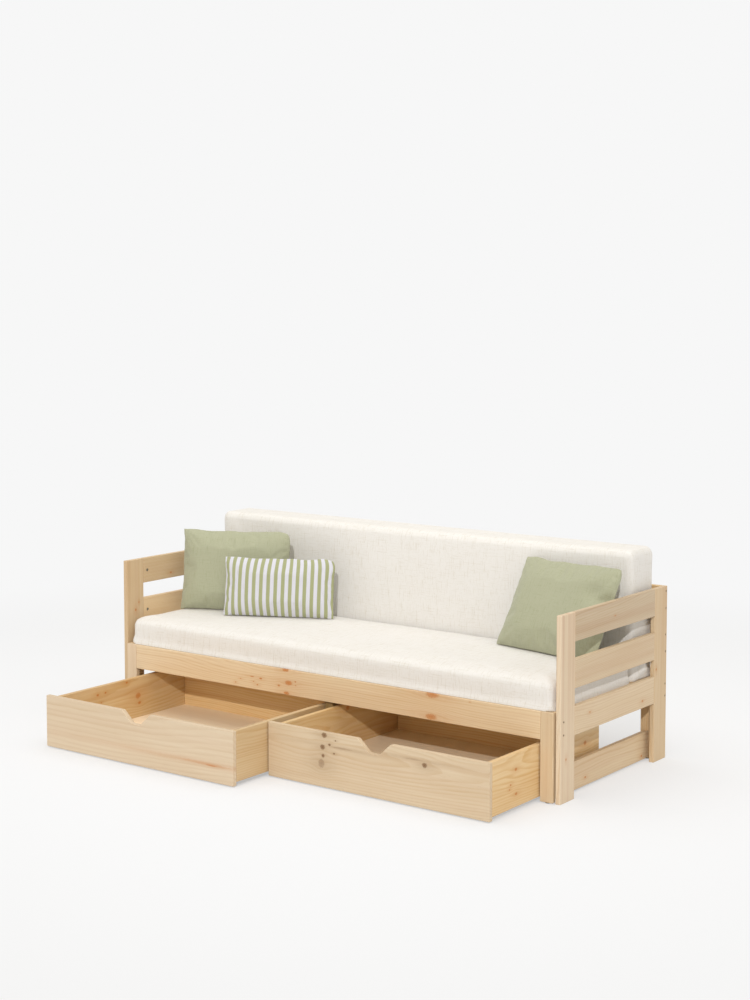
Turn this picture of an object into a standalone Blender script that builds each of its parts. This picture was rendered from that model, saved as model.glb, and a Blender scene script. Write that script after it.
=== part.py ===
"""Pine storage sofa bed: slatted arms, a pull-out front frame, two rolling drawers, loose cushions.

Lengths are in metres. X runs along the sofa, Y from front to back and Z up. The origin lies on the
floor, in the middle of the ground that the sofa covers with its drawers open.
"""

from math import pi, radians, sin, tan

import bmesh
import bpy
from mathutils import Matrix, Vector
from mathutils.bvhtree import BVHTree

# Whole sofa
SOFA_LENGTH = 1.940
ARM_DEPTH = 0.728
ARM_HEIGHT = 0.614
BOARD = 0.018
EDGE_EASE = 0.002
FIT_GAP = 0.0003
FLOOR_GAP = 0.0003
JOINED_DEPTH = 0.0002
CUT_OVERRUN = 0.002

# Arms
POST_WIDTH = 0.090
RAIL_WIDTH = 0.096
SEAT_RAIL_DROP = 0.088
RAIL_COUNT = 3

# Fixed frame between the arms
DECK_HEIGHT = 0.298
BEAM_HEIGHT = 0.072
BEAM_CLEARANCE = 0.0012
CENTRE_LEG_CLEARANCE = 0.006

# Slatted deck
SLAT_WIDTH = 0.060
SLAT_SPACE = 0.010
SLAT_THICKNESS = 0.016
SLAT_EDGE_EASE = 0.0015
SLAT_END_GAP = 0.0045
SLAT_BEARING = 0.009

# Pull-out frame
FRONT_PROUD = 0.008
FRONT_RAIL_WIDTH = 0.092
LEG_WIDTH = 0.048
LEG_SLIT = 0.005
RUNNER_HEIGHT = 0.096
RUNNER_FLOOR_GAP = 0.007
REAR_LEG_GAP = 0.019
GLIDE_RADIUS = 0.007
GLIDE_HEIGHT = 0.0027

# Screw holes in the posts' outer faces, and cam pockets in the arm rails' inner faces
SCREW_HOLE_RADIUS = 0.004
SCREW_HOLE_DEPTH = 0.003
BEAM_SCREW_INSET = 0.0145
RAIL_SCREW_SPREAD = 0.060
CAM_RADIUS = 0.006
CAM_DEPTH = 0.0125
CAM_FROM_END = 0.0215

# Drawers
LEFT_DRAWER_OPEN = 0.468
RIGHT_DRAWER_OPEN = 0.291
DRAWER_SIDE_GAP = 0.005
DRAWER_MIDDLE_GAP = 0.004
DRAWER_FLOOR_GAP = 0.004
DRAWER_TOP_GAP = 0.016
DRAWER_REAR_GAP = 0.032
BOX_INSET = 0.040
BOX_FLOOR_GAP = 0.016
BOTTOM_THICKNESS = 0.006
BOTTOM_HEIGHT = 0.031
GROOVE_DEPTH = 0.006
SCOOP_WIDTH = 0.133
SCOOP_FLAT = 0.040
SCOOP_DEPTH = 0.042
SCOOP_SHOULDER_RADIUS = 0.010
SCOOP_FLOOR_RADIUS = 0.018

# Drawer rollers
ROLLER_RADIUS = 0.0125
ROLLER_WIDTH = 0.012
ROLLER_CHAMFER = 0.001
ROLLER_SIDE_INSET = 0.130
ROLLER_FRONT_INSET = 0.120
ROLLER_REAR_INSET = 0.100
PIN_RADIUS = 0.002
PIN_CLEARANCE = 0.0003
PIN_END = 0.0008
BRACKET_SHEET = 0.0015
BRACKET_LENGTH = 0.026
BRACKET_SIDE_GAP = 0.001
BRACKET_SKIRT = 0.006
BRACKET_BEND = 0.002

# Seat and back cushions
CUSHION_ARM_GAP = 0.012
SEAT_THICKNESS = 0.100
SEAT_CROWN = 0.006
SEAT_EDGE = 0.024
SEAT_DRAW_IN = 0.004
SEAT_FRONT_SETBACK = 0.006
BACK_THICKNESS = 0.140
BACK_HEIGHT = 0.454
BACK_CROWN = 0.006
BACK_EDGE = 0.032
BACK_DRAW_IN = 0.006
SEAT_TO_BACK = 0.011
BACK_REST_GAP = 0.043

# Loose pillows: size, then the place of the lower left corner and how the pillow stands
PILLOW_SEAM = 0.006
PILLOW_DRAW_IN = 0.012
LEFT_PILLOW_WIDTH = 0.438
LEFT_PILLOW_HEIGHT = 0.311
LEFT_PILLOW_THICKNESS = 0.100
LEFT_PILLOW_FROM_ARM = 0.062
LEFT_PILLOW_FROM_BACK = 0.291
LEFT_PILLOW_YAW = radians(21.3)
LEFT_PILLOW_LEAN = radians(7.7)
STRIPED_PILLOW_WIDTH = 0.424
STRIPED_PILLOW_HEIGHT = 0.225
STRIPED_PILLOW_THICKNESS = 0.076
STRIPED_PILLOW_FROM_ARM = 0.298
STRIPED_PILLOW_FROM_BACK = 0.301
STRIPED_PILLOW_YAW = radians(25.1)
STRIPED_PILLOW_LEAN = radians(6.0)
RIGHT_PILLOW_WIDTH = 0.432
RIGHT_PILLOW_HEIGHT = 0.331
RIGHT_PILLOW_THICKNESS = 0.100
RIGHT_PILLOW_FROM_ARM = 0.458
RIGHT_PILLOW_FROM_BACK = 0.151
RIGHT_PILLOW_YAW = radians(-11.9)
RIGHT_PILLOW_LEAN = radians(24.0)

# Fineness of round and soft shapes
EASE_SEGMENTS = 2
ARC_STEPS = 5
BEND_STEPS = 2
SCREW_HOLE_SIDES = 8
CAM_SIDES = 12
PIN_SIDES = 8
GLIDE_SIDES = 16
ROLLER_STEPS = 18
BOX_CUSHION_CELLS = (10, 4, 3)
PILLOW_CELLS = (6, 5, 1)
SOFT_LEVELS = 1
WELD_DISTANCE = 0.00001
SMOOTH_ANGLE = radians(40)
EASE_ANGLE = radians(35)

# Turns that stand a piece drawn flat on its edge, and lay a piece drawn upright along X
UPRIGHT = (pi / 2, 0, 0)
SIDEWAYS = (0, pi / 2, 0)

# Places worked out from the sizes above
POST_FRONT = (FRONT_PROUD + LEFT_DRAWER_OPEN - ARM_DEPTH) / 2
POST_BACK = POST_FRONT + ARM_DEPTH
ARM_OUTER = SOFA_LENGTH / 2
ARM_INNER = ARM_OUTER - BOARD
SEAT_RAIL_BOTTOM = DECK_HEIGHT - SEAT_RAIL_DROP
RAIL_STEP = (ARM_HEIGHT - RAIL_WIDTH - SEAT_RAIL_BOTTOM) / (RAIL_COUNT - 1)
RAIL_BOTTOMS = [SEAT_RAIL_BOTTOM + level * RAIL_STEP for level in range(RAIL_COUNT)]
SLIDING_SLAT_BOTTOM = DECK_HEIGHT - SLAT_THICKNESS
CROSS_RAIL_TOP = SLIDING_SLAT_BOTTOM + JOINED_DEPTH
FIXED_SLAT_BOTTOM = CROSS_RAIL_TOP + FIT_GAP
REAR_BEAM_TOP = FIXED_SLAT_BOTTOM + JOINED_DEPTH
BEAM_TOP = SLIDING_SLAT_BOTTOM - FIT_GAP
BEAM_BOTTOM = BEAM_TOP - BEAM_HEIGHT
FRONT_FACE = POST_FRONT - FRONT_PROUD
FRONT_BACK = FRONT_FACE + BOARD
BEAM_FRONT = FRONT_BACK + BEAM_CLEARANCE
BACK_BOARD_FRONT = POST_BACK - BOARD
LEG_OUTER = ARM_INNER - LEG_SLIT
LEG_INNER = LEG_OUTER - LEG_WIDTH
LEG_BOTTOM = FLOOR_GAP + GLIDE_HEIGHT + FIT_GAP
REAR_LEG_BACK = BACK_BOARD_FRONT - REAR_LEG_GAP
REAR_LEG_FRONT = REAR_LEG_BACK - BOARD
FRONT_RAIL_BOTTOM = DECK_HEIGHT - FRONT_RAIL_WIDTH
SLAT_REACH = 2 * (ARM_INNER - SLAT_END_GAP) - SLAT_WIDTH
SLAT_COUNT = 2 * int(SLAT_REACH / (SLAT_WIDTH + SLAT_SPACE) / 2) + 1
SLAT_PITCH = SLAT_REACH / (SLAT_COUNT - 1)
DRAWER_TOP = FRONT_RAIL_BOTTOM - DRAWER_TOP_GAP
DRAWER_DEPTH = BACK_BOARD_FRONT - DRAWER_REAR_GAP - FRONT_FACE
DRAWER_WIDTH = LEG_INNER - DRAWER_SIDE_GAP - DRAWER_MIDDLE_GAP / 2
SEAT_TOP = DECK_HEIGHT + FIT_GAP + SEAT_THICKNESS
BACK_CUSHION_FRONT = BACK_BOARD_FRONT - BACK_REST_GAP - BACK_THICKNESS
SEAT_FRONT = POST_FRONT + SEAT_FRONT_SETBACK
SEAT_BACK = BACK_CUSHION_FRONT - SEAT_TO_BACK
CUSHION_LENGTH = 2 * (ARM_INNER - CUSHION_ARM_GAP)

# Finishes: base colour, roughness, metallic
FINISHES = {
    "pine": ((0.78, 0.58, 0.37, 1.0), 0.55, 0.0),
    "plywood": ((0.72, 0.52, 0.38, 1.0), 0.60, 0.0),
    "steel": ((0.62, 0.62, 0.60, 1.0), 0.35, 1.0),
    "roller_plastic": ((0.12, 0.12, 0.12, 1.0), 0.50, 0.0),
    "felt": ((0.30, 0.27, 0.24, 1.0), 0.95, 0.0),
    "linen": ((0.80, 0.77, 0.70, 1.0), 0.90, 0.0),
    "sage_linen": ((0.38, 0.43, 0.32, 1.0), 0.90, 0.0),
    "striped_linen": ((0.60, 0.64, 0.54, 1.0), 0.90, 0.0),
}


def clear_scene():
    for item in list(bpy.data.objects):
        bpy.data.objects.remove(item, do_unlink=True)


def new_collection(name):
    group = bpy.data.collections.new(name)
    bpy.context.scene.collection.children.link(group)
    return group


def new_materials():
    for name, (colour, roughness, metallic) in FINISHES.items():
        material = bpy.data.materials.new(name)
        material.use_nodes = True
        shader = material.node_tree.nodes["Principled BSDF"]
        shader.inputs["Base Color"].default_value = colour
        shader.inputs["Roughness"].default_value = roughness
        shader.inputs["Metallic"].default_value = metallic
        material.diffuse_color = colour


def new_empty(name, location, parent=None):
    empty = bpy.data.objects.new(name, None)
    PARTS.objects.link(empty)
    empty.parent = parent
    empty.location = Vector(location) - (parent.matrix_world.translation if parent else Vector())
    bpy.context.view_layer.update()
    return empty


def new_part(name, mesh, location, parent, material, rotation=(0, 0, 0)):
    """One named piece at a place in the world, carried by the empty of its moving group."""
    part = bpy.data.objects.new(name, mesh)
    PARTS.objects.link(part)
    part.parent = parent
    part.location = Vector(location) - parent.matrix_world.translation
    part.rotation_euler = rotation
    if not mesh.materials:
        mesh.materials.append(bpy.data.materials[material])
    return part


def new_cutter(name, mesh, location=(0, 0, 0)):
    cutter = bpy.data.objects.new(name, mesh)
    CUTTERS.objects.link(cutter)
    cutter.location = location
    cutter.hide_render = True
    cutter.display_type = "WIRE"
    return cutter


def cut(part, cutter, operation="DIFFERENCE"):
    boolean = part.modifiers.new(cutter.name, "BOOLEAN")
    boolean.object = cutter
    boolean.operation = operation
    boolean.solver = "EXACT"


def ease_edges(part, width=EDGE_EASE, segments=EASE_SEGMENTS):
    bevel = part.modifiers.new("eased_edges", "BEVEL")
    bevel.width = width
    bevel.segments = segments
    bevel.limit_method = "ANGLE"
    bevel.angle_limit = EASE_ANGLE


def mesh_from(bm, name):
    mesh = bpy.data.meshes.new(name)
    bm.to_mesh(mesh)
    bm.free()
    return mesh


def box_mesh(name, size):
    bm = bmesh.new()
    bmesh.ops.create_cube(bm, size=1)
    bmesh.ops.scale(bm, vec=size, verts=bm.verts)
    return mesh_from(bm, name)


def cylinder_mesh(name, radius, length, sides):
    """A cylinder along Z with its middle at the origin."""
    bm = bmesh.new()
    bmesh.ops.create_cone(
        bm, cap_ends=True, segments=sides, radius1=radius, radius2=radius, depth=length
    )
    return smooth_mesh(mesh_from(bm, name))


def smooth_mesh(mesh):
    mesh.shade_smooth()
    mesh.set_sharp_from_angle(angle=SMOOTH_ANGLE)
    return mesh


def spans(*ranges):
    """Centre and size of the box between pairs of faces, given in any order."""
    lows = [min(pair) for pair in ranges]
    highs = [max(pair) for pair in ranges]
    centre = [(low + high) / 2 for low, high in zip(lows, highs)]
    size = [high - low for low, high in zip(lows, highs)]
    return centre, size


def board(name, x, y, z, parent, material="pine"):
    centre, size = spans(x, y, z)
    return new_part(name, box_mesh(name, size), centre, parent, material)


def box_cutter(name, x, y, z):
    centre, size = spans(x, y, z)
    return new_cutter(name, box_mesh(name, size), centre)


def copies_mesh(name, source, placements):
    """Separate copies of one small mesh, each moved by its matrix."""
    bm = bmesh.new()
    for matrix in placements:
        before = set(bm.verts)
        bm.from_mesh(source)
        added = [vert for vert in bm.verts if vert not in before]
        bmesh.ops.transform(bm, matrix=matrix, verts=added)
    return smooth_mesh(mesh_from(bm, name))


def profile_mesh(name, points):
    """A closed profile of radius and height pairs in the XZ plane, for turning about Z."""
    bm = bmesh.new()
    corners = [bm.verts.new((radius, 0, height)) for radius, height in points]
    for first, second in zip(corners, corners[1:] + corners[:1]):
        bm.edges.new((first, second))
    return mesh_from(bm, name)


def turn(part, steps):
    screw = part.modifiers.new("turned", "SCREW")
    screw.axis = "Z"
    screw.angle = 2 * pi
    screw.steps = steps
    screw.render_steps = steps
    screw.use_merge_vertices = True
    screw.merge_threshold = WELD_DISTANCE


def evaluated_mesh(part):
    """The mesh that a curve or a piece with modifiers shows, with the piece itself removed."""
    bpy.context.view_layer.update()
    graph = bpy.context.evaluated_depsgraph_get()
    mesh = bpy.data.meshes.new_from_object(part.evaluated_get(graph))
    bpy.data.objects.remove(part, do_unlink=True)
    return mesh


def filleted(corners, steps):
    """Outline points with a round arc at each corner that has a radius: (x, y, radius)."""
    points = []
    for index, (x, y, radius) in enumerate(corners):
        corner = Vector((x, y))
        if not radius:
            points.append(corner)
            continue
        before = (Vector(corners[index - 1][:2]) - corner).normalized()
        after = (Vector(corners[(index + 1) % len(corners)][:2]) - corner).normalized()
        half = before.angle(after) / 2
        centre = corner + (before + after).normalized() * (radius / sin(half))
        start = corner + before * (radius / tan(half)) - centre
        sweep = start.angle_signed(corner + after * (radius / tan(half)) - centre)
        for step in range(steps + 1):
            turned = Matrix.Rotation(-sweep * step / steps, 2)
            points.append(centre + turned @ start)
    return points


def plate_mesh(name, corners, thickness, steps):
    """A flat plate cut to an outline in XY, as thick along Z as asked, centred on the outline."""
    outline = bpy.data.curves.new(name, "CURVE")
    outline.dimensions = "2D"
    outline.fill_mode = "BOTH"
    outline.extrude = thickness / 2
    spline = outline.splines.new("POLY")
    points = filleted(corners, steps)
    spline.points.add(len(points) - 1)
    for target, point in zip(spline.points, points):
        target.co = (point.x, point.y, 0, 1)
    spline.use_cyclic_u = True
    plate = bpy.data.objects.new(name, outline)
    CUTTERS.objects.link(plate)
    mesh = evaluated_mesh(plate)
    bm = bmesh.new()
    bm.from_mesh(mesh)
    bmesh.ops.remove_doubles(bm, verts=bm.verts, dist=WELD_DISTANCE)
    bmesh.ops.dissolve_limit(bm, angle_limit=radians(1), verts=bm.verts, edges=bm.edges)
    bmesh.ops.recalc_face_normals(bm, faces=bm.faces)
    bm.to_mesh(mesh)
    bm.free()
    return mesh


def grid_box(cells):
    """A box from -1 to 1 with the given number of cells along X, Y and Z."""
    bm = bmesh.new()
    bmesh.ops.create_cube(bm, size=2)
    for axis, count in enumerate(cells):
        along = [
            edge for edge in bm.edges
            if abs((edge.verts[1].co - edge.verts[0].co).normalized()[axis]) > 0.5
        ]
        if count > 1:
            bmesh.ops.subdivide_edges(bm, edges=along, cuts=count - 1, use_grid_fill=True)
    return bm


def soften(part):
    subdivision = part.modifiers.new("soft", "SUBSURF")
    subdivision.levels = SOFT_LEVELS
    subdivision.render_levels = SOFT_LEVELS


def box_cushion_mesh(name, length, depth, thickness, edge, crown, draw_in):
    """A boxed cushion: tight round edges, crowned faces, sides drawn in between the corners."""
    halves = (length / 2, depth / 2, thickness / 2)
    bm = grid_box(BOX_CUSHION_CELLS)
    for vert in bm.verts:
        place = []
        for value, half, count in zip(vert.co, halves, BOX_CUSHION_CELLS):
            index = round((value + 1) / 2 * count)
            inner = (half - edge) * (2 * (index - 1) / (count - 2) - 1)
            place.append(-half if index == 0 else half if index == count else inner)
        u, v = place[0] / halves[0], place[1] / halves[1]
        x = u * (halves[0] - draw_in * (1 - v * v))
        y = v * (halves[1] - draw_in * (1 - u * u))
        z = place[2] + place[2] / halves[2] * crown * (1 - u ** 4) * (1 - v * v)
        vert.co = (x, y, z)
    mesh = mesh_from(bm, name)
    mesh.shade_smooth()
    return mesh


def flatten(mesh, axis, level, reach):
    """Bring the side that a cushion rests on to one flat level."""
    for vert in mesh.vertices:
        if vert.co[axis] < level + reach:
            vert.co[axis] = level


def pillow_mesh(name, width, height, thickness):
    """A knife-edged pillow with pointed corners, its lower left corner at the origin."""
    bm = grid_box(PILLOW_CELLS)
    for vert in bm.verts:
        u, v = sin(pi / 2 * vert.co.x), sin(pi / 2 * vert.co.y)
        x = u * (width / 2 - PILLOW_DRAW_IN * (1 - v * v))
        y = v * (height / 2 - PILLOW_DRAW_IN * (1 - u * u))
        fill = ((1 - u * u) * (1 - v * v)) ** 0.5
        z = vert.co.z * (PILLOW_SEAM + (thickness - PILLOW_SEAM) * fill) / 2
        vert.co = (x + width / 2, y + height / 2, z)
    mesh = mesh_from(bm, name)
    mesh.shade_smooth()
    return mesh


def screw_places(side):
    """Middle of each screw hole's mouth, on the outer faces of one arm's posts."""
    beam_heights = [BEAM_BOTTOM + BEAM_SCREW_INSET, BEAM_TOP - BEAM_SCREW_INSET]
    rail_middles = [bottom + RAIL_WIDTH / 2 for bottom in RAIL_BOTTOMS[1:]]
    rail_heights = [middle + way * RAIL_SCREW_SPREAD / 2 for middle in rail_middles for way in (-1, 1)]
    places = [(BEAM_FRONT + BOARD / 2, height) for height in beam_heights]
    places += [(BACK_BOARD_FRONT + BOARD / 2, height) for height in beam_heights + rail_heights]
    return [(side * ARM_OUTER, y, z) for y, z in places]


def cam_places(side):
    """Middle of each cam pocket's mouth, on the inner faces of one arm's rails."""
    near = POST_FRONT + POST_WIDTH + FIT_GAP + CAM_FROM_END
    far = POST_BACK - POST_WIDTH - FIT_GAP - CAM_FROM_END
    return [
        (side * ARM_INNER, y, bottom + RAIL_WIDTH / 2)
        for bottom in RAIL_BOTTOMS
        for y in (near, far)
    ]


def hole_cutter(name, places, inwards, radius, depth, sides):
    """Blind round holes along X, sunk this deep from each mouth in the inwards direction."""
    length = depth + CUT_OVERRUN
    drill = cylinder_mesh(name, radius, length, sides)
    across = Matrix.Rotation(pi / 2, 4, "Y")
    shift = Matrix.Translation((inwards * (length / 2 - CUT_OVERRUN), 0, 0))
    placements = [shift @ Matrix.Translation(place) @ across for place in places]
    return new_cutter(name, copies_mesh(name, drill, placements))


def build_arm(side, label, parent):
    name = f"arm_{label}"
    x = (side * ARM_INNER, side * ARM_OUTER)
    front_y = (POST_FRONT, POST_FRONT + POST_WIDTH)
    rear_y = (POST_BACK - POST_WIDTH, POST_BACK)
    front_post = board(f"{name}_front_post", x, front_y, (0, ARM_HEIGHT), parent)
    rear_post = board(f"{name}_rear_post", x, rear_y, (0, ARM_HEIGHT), parent)
    rail_y = (front_y[1] + FIT_GAP, rear_y[0] - FIT_GAP)
    rails = [
        board(f"{name}_{level}_rail", x, rail_y, (bottom, bottom + RAIL_WIDTH), parent)
        for level, bottom in zip(("seat", "middle", "top"), RAIL_BOTTOMS)
    ]

    pocket_size = (CAM_RADIUS, CAM_DEPTH, CAM_SIDES)
    pockets = hole_cutter(f"{name}_cam_pockets", cam_places(side), side, *pocket_size)
    hole_size = (SCREW_HOLE_RADIUS, SCREW_HOLE_DEPTH, SCREW_HOLE_SIDES)
    holes = hole_cutter(f"{name}_screw_holes", screw_places(side), -side, *hole_size)
    for part in (front_post, rear_post, *rails):
        ease_edges(part)
    for post in (front_post, rear_post):
        cut(post, holes)
    for rail in rails:
        cut(rail, pockets)


def build_fixed_frame(parent):
    """The boards that join the two arms, with every second slat, and the legs under their middle."""
    x = (FIT_GAP - ARM_INNER, ARM_INNER - FIT_GAP)
    front_y = (BEAM_FRONT, BEAM_FRONT + BOARD)
    rear_y = (BACK_BOARD_FRONT, POST_BACK)
    ease_edges(board("fixed_front_beam", x, front_y, (BEAM_BOTTOM, BEAM_TOP), parent))
    for level, bottom in zip(("middle", "top"), RAIL_BOTTOMS[1:]):
        ease_edges(board(f"back_{level}_rail", x, rear_y, (bottom, bottom + RAIL_WIDTH), parent))

    rear_beam = board("fixed_slats_on_rear_beam", x, rear_y, (BEAM_BOTTOM, REAR_BEAM_TOP), parent)
    fixed_count = (SLAT_COUNT + 1) // 2
    slat_y = (BEAM_FRONT, POST_BACK)
    slats = slat_row("fixed_slats", 0, fixed_count, slat_y, (FIXED_SLAT_BOTTOM, DECK_HEIGHT))
    cut(rear_beam, slats, operation="UNION")

    leg_x = (
        CENTRE_LEG_CLEARANCE - DRAWER_MIDDLE_GAP / 2,
        DRAWER_MIDDLE_GAP / 2 + BOX_INSET - CENTRE_LEG_CLEARANCE,
    )
    leg_z = (0, BEAM_BOTTOM - FIT_GAP)
    ease_edges(board("centre_leg_front", leg_x, front_y, leg_z, parent))
    ease_edges(board("centre_leg_rear", leg_x, rear_y, leg_z, parent))


def slat_row(name, first, count, y, z):
    """Every second slat of the deck, from the given one from the left, for joining to its beam."""
    left = (first - (SLAT_COUNT - 1) / 2) * SLAT_PITCH
    slats = box_cutter(name, (left - SLAT_WIDTH / 2, left + SLAT_WIDTH / 2), y, z)
    ease_edges(slats, width=SLAT_EDGE_EASE, segments=1)
    row = slats.modifiers.new("row", "ARRAY")
    row.count = count
    row.use_relative_offset = False
    row.use_constant_offset = True
    row.constant_offset_displace = (2 * SLAT_PITCH, 0, 0)
    return slats


def build_pull_out_frame(parent):
    front_y = (FRONT_FACE, FRONT_BACK)
    rear_y = (REAR_LEG_FRONT, REAR_LEG_BACK)
    for side, label in ((-1, "left"), (1, "right")):
        leg_x = (side * LEG_INNER, side * LEG_OUTER)
        leg_middle = side * (LEG_INNER + LEG_OUTER) / 2
        runner_x = (leg_middle - BOARD / 2, leg_middle + BOARD / 2)
        runner_y = (FRONT_BACK + FIT_GAP, REAR_LEG_FRONT - FIT_GAP)
        runner_z = (RUNNER_FLOOR_GAP, RUNNER_FLOOR_GAP + RUNNER_HEIGHT)
        ease_edges(board(f"front_leg_{label}", leg_x, front_y, (LEG_BOTTOM, DECK_HEIGHT), parent))
        ease_edges(board(f"rear_leg_{label}", leg_x, rear_y, (LEG_BOTTOM, BEAM_TOP), parent))
        ease_edges(board(f"side_runner_{label}", runner_x, runner_y, runner_z, parent))

    x = (FIT_GAP - LEG_INNER, LEG_INNER - FIT_GAP)
    front_rail = board("front_rail", x, front_y, (FRONT_RAIL_BOTTOM, DECK_HEIGHT), parent)
    rebate = box_cutter(
        "front_rail_rebate",
        (x[0] - CUT_OVERRUN, x[1] + CUT_OVERRUN),
        (FRONT_BACK - SLAT_BEARING, FRONT_BACK + CUT_OVERRUN),
        (BEAM_TOP, DECK_HEIGHT + CUT_OVERRUN),
    )
    cut(front_rail, rebate)
    ease_edges(front_rail)

    rail_z = (FRONT_RAIL_BOTTOM, CROSS_RAIL_TOP)
    cross_rail = board("sliding_slats_on_cross_rail", x, rear_y, rail_z, parent)
    slat_y = (FRONT_BACK - SLAT_BEARING + FIT_GAP, REAR_LEG_BACK)
    slats = slat_row("sliding_slats", 1, SLAT_COUNT // 2, slat_y, (SLIDING_SLAT_BOTTOM, DECK_HEIGHT))
    cut(cross_rail, slats, operation="UNION")

    glide = cylinder_mesh("glide", GLIDE_RADIUS, GLIDE_HEIGHT, GLIDE_SIDES)
    for side, label in ((-1, "left"), (1, "right")):
        for row, y in (("front", sum(front_y) / 2), ("rear", sum(rear_y) / 2)):
            place = (side * (LEG_INNER + LEG_OUTER) / 2, y, FLOOR_GAP + GLIDE_HEIGHT / 2)
            new_part(f"glide_{row}_{label}", glide, place, parent, "felt")


def drawer_front_corners():
    """The front's outline with its scooped hand-hold, centred on the front's width."""
    half = DRAWER_WIDTH / 2
    height = DRAWER_TOP - DRAWER_FLOOR_GAP
    floor = height - SCOOP_DEPTH
    return [
        (-half, 0, 0),
        (half, 0, 0),
        (half, height, 0),
        (SCOOP_WIDTH / 2, height, SCOOP_SHOULDER_RADIUS),
        (SCOOP_FLAT / 2, floor, SCOOP_FLOOR_RADIUS),
        (-SCOOP_FLAT / 2, floor, SCOOP_FLOOR_RADIUS),
        (-SCOOP_WIDTH / 2, height, SCOOP_SHOULDER_RADIUS),
        (-half, height, 0),
    ]


def roller_profile():
    """The roller's section: bore, chamfered tread and flat sides."""
    bore = PIN_RADIUS + PIN_CLEARANCE
    half = ROLLER_WIDTH / 2
    return [
        (bore, half),
        (ROLLER_RADIUS - ROLLER_CHAMFER, half),
        (ROLLER_RADIUS, half - ROLLER_CHAMFER),
        (ROLLER_RADIUS, ROLLER_CHAMFER - half),
        (ROLLER_RADIUS - ROLLER_CHAMFER, -half),
        (bore, -half),
    ]


def bracket_mesh(axis_height):
    """A folded steel channel over one roller, with the pin that the roller turns on."""
    inside = ROLLER_WIDTH / 2 + BRACKET_SIDE_GAP
    outside = inside + BRACKET_SHEET
    top = BOTTOM_HEIGHT - FIT_GAP - axis_height
    roof = top - BRACKET_SHEET
    bend_inside = BRACKET_BEND - BRACKET_SHEET
    corners = [
        (-outside, -BRACKET_SKIRT, 0),
        (-inside, -BRACKET_SKIRT, 0),
        (-inside, roof, bend_inside),
        (inside, roof, bend_inside),
        (inside, -BRACKET_SKIRT, 0),
        (outside, -BRACKET_SKIRT, 0),
        (outside, top, BRACKET_BEND),
        (-outside, top, BRACKET_BEND),
    ]
    channel = new_cutter("bracket", plate_mesh("bracket", corners, BRACKET_LENGTH, BEND_STEPS))
    channel.rotation_euler = UPRIGHT
    pin_length = 2 * (outside + PIN_END)
    pin = new_cutter("pin", cylinder_mesh("pin", PIN_RADIUS, pin_length, PIN_SIDES))
    pin.rotation_euler = SIDEWAYS
    cut(channel, pin, operation="UNION")
    mesh = evaluated_mesh(channel)
    bpy.data.objects.remove(pin, do_unlink=True)
    return mesh


def build_drawer(label, left, opened, roller, bracket, axis_height, parent):
    """One drawer whose front starts at the given left edge, drawn out by the given travel."""
    name = f"drawer_{label}"
    right = left + DRAWER_WIDTH
    face = FRONT_FACE - opened
    inside_front = face + BOARD + FIT_GAP
    box_back = face + DRAWER_DEPTH
    box_left = left + BOX_INSET
    side_y = (inside_front, box_back)
    side_z = (BOX_FLOOR_GAP, DRAWER_TOP)
    back_y = (box_back - BOARD, box_back)

    front_mesh = plate_mesh(f"{name}_front", drawer_front_corners(), BOARD, ARC_STEPS)
    front_place = ((left + right) / 2, face + BOARD / 2, DRAWER_FLOOR_GAP)
    front = new_part(f"{name}_front", front_mesh, front_place, parent, "pine", UPRIGHT)
    side_left = board(f"{name}_side_left", (box_left, box_left + BOARD), side_y, side_z, parent)
    side_right = board(f"{name}_side_right", (right - BOARD, right), side_y, side_z, parent)
    back_x = (box_left + BOARD + FIT_GAP, right - BOARD - FIT_GAP)
    back = board(f"{name}_back", back_x, back_y, side_z, parent)

    groove_depth = GROOVE_DEPTH + FIT_GAP
    groove = box_cutter(
        f"{name}_groove",
        (box_left + BOARD - groove_depth, right - BOARD + groove_depth),
        (face + BOARD - groove_depth, box_back - BOARD + groove_depth),
        (BOTTOM_HEIGHT - FIT_GAP, BOTTOM_HEIGHT + BOTTOM_THICKNESS + FIT_GAP),
    )
    for part in (front, side_left, side_right, back):
        ease_edges(part)
        cut(part, groove)

    board(
        f"{name}_bottom",
        (box_left + BOARD - GROOVE_DEPTH, right - BOARD + GROOVE_DEPTH),
        (face + BOARD - GROOVE_DEPTH, box_back - BOARD + GROOVE_DEPTH),
        (BOTTOM_HEIGHT, BOTTOM_HEIGHT + BOTTOM_THICKNESS),
        parent,
        material="plywood",
    )

    roller_xs = (("left", box_left + ROLLER_SIDE_INSET), ("right", right - ROLLER_SIDE_INSET))
    roller_ys = (("front", face + BOARD + ROLLER_FRONT_INSET), ("rear", box_back - ROLLER_REAR_INSET))
    for row, y in roller_ys:
        for column, x in roller_xs:
            place = (x, y, axis_height)
            corner = f"{row}_{column}"
            new_part(f"{name}_bracket_{corner}", bracket, place, parent, "steel", UPRIGHT)
            wheel = new_part(
                f"{name}_roller_{corner}", roller, place, parent, "roller_plastic", SIDEWAYS
            )
            turn(wheel, ROLLER_STEPS)


def build_drawers():
    axis_height = FLOOR_GAP + ROLLER_RADIUS
    roller = profile_mesh("roller", roller_profile())
    bracket = bracket_mesh(axis_height)
    layout = (
        ("left", -DRAWER_MIDDLE_GAP / 2 - DRAWER_WIDTH, LEFT_DRAWER_OPEN),
        ("right", DRAWER_MIDDLE_GAP / 2, RIGHT_DRAWER_OPEN),
    )
    for label, left, opened in layout:
        slide = new_empty(f"drawer_{label}_slide", (left + DRAWER_WIDTH / 2, FRONT_FACE - opened, 0))
        build_drawer(label, left, opened, roller, bracket, axis_height, slide)


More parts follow.
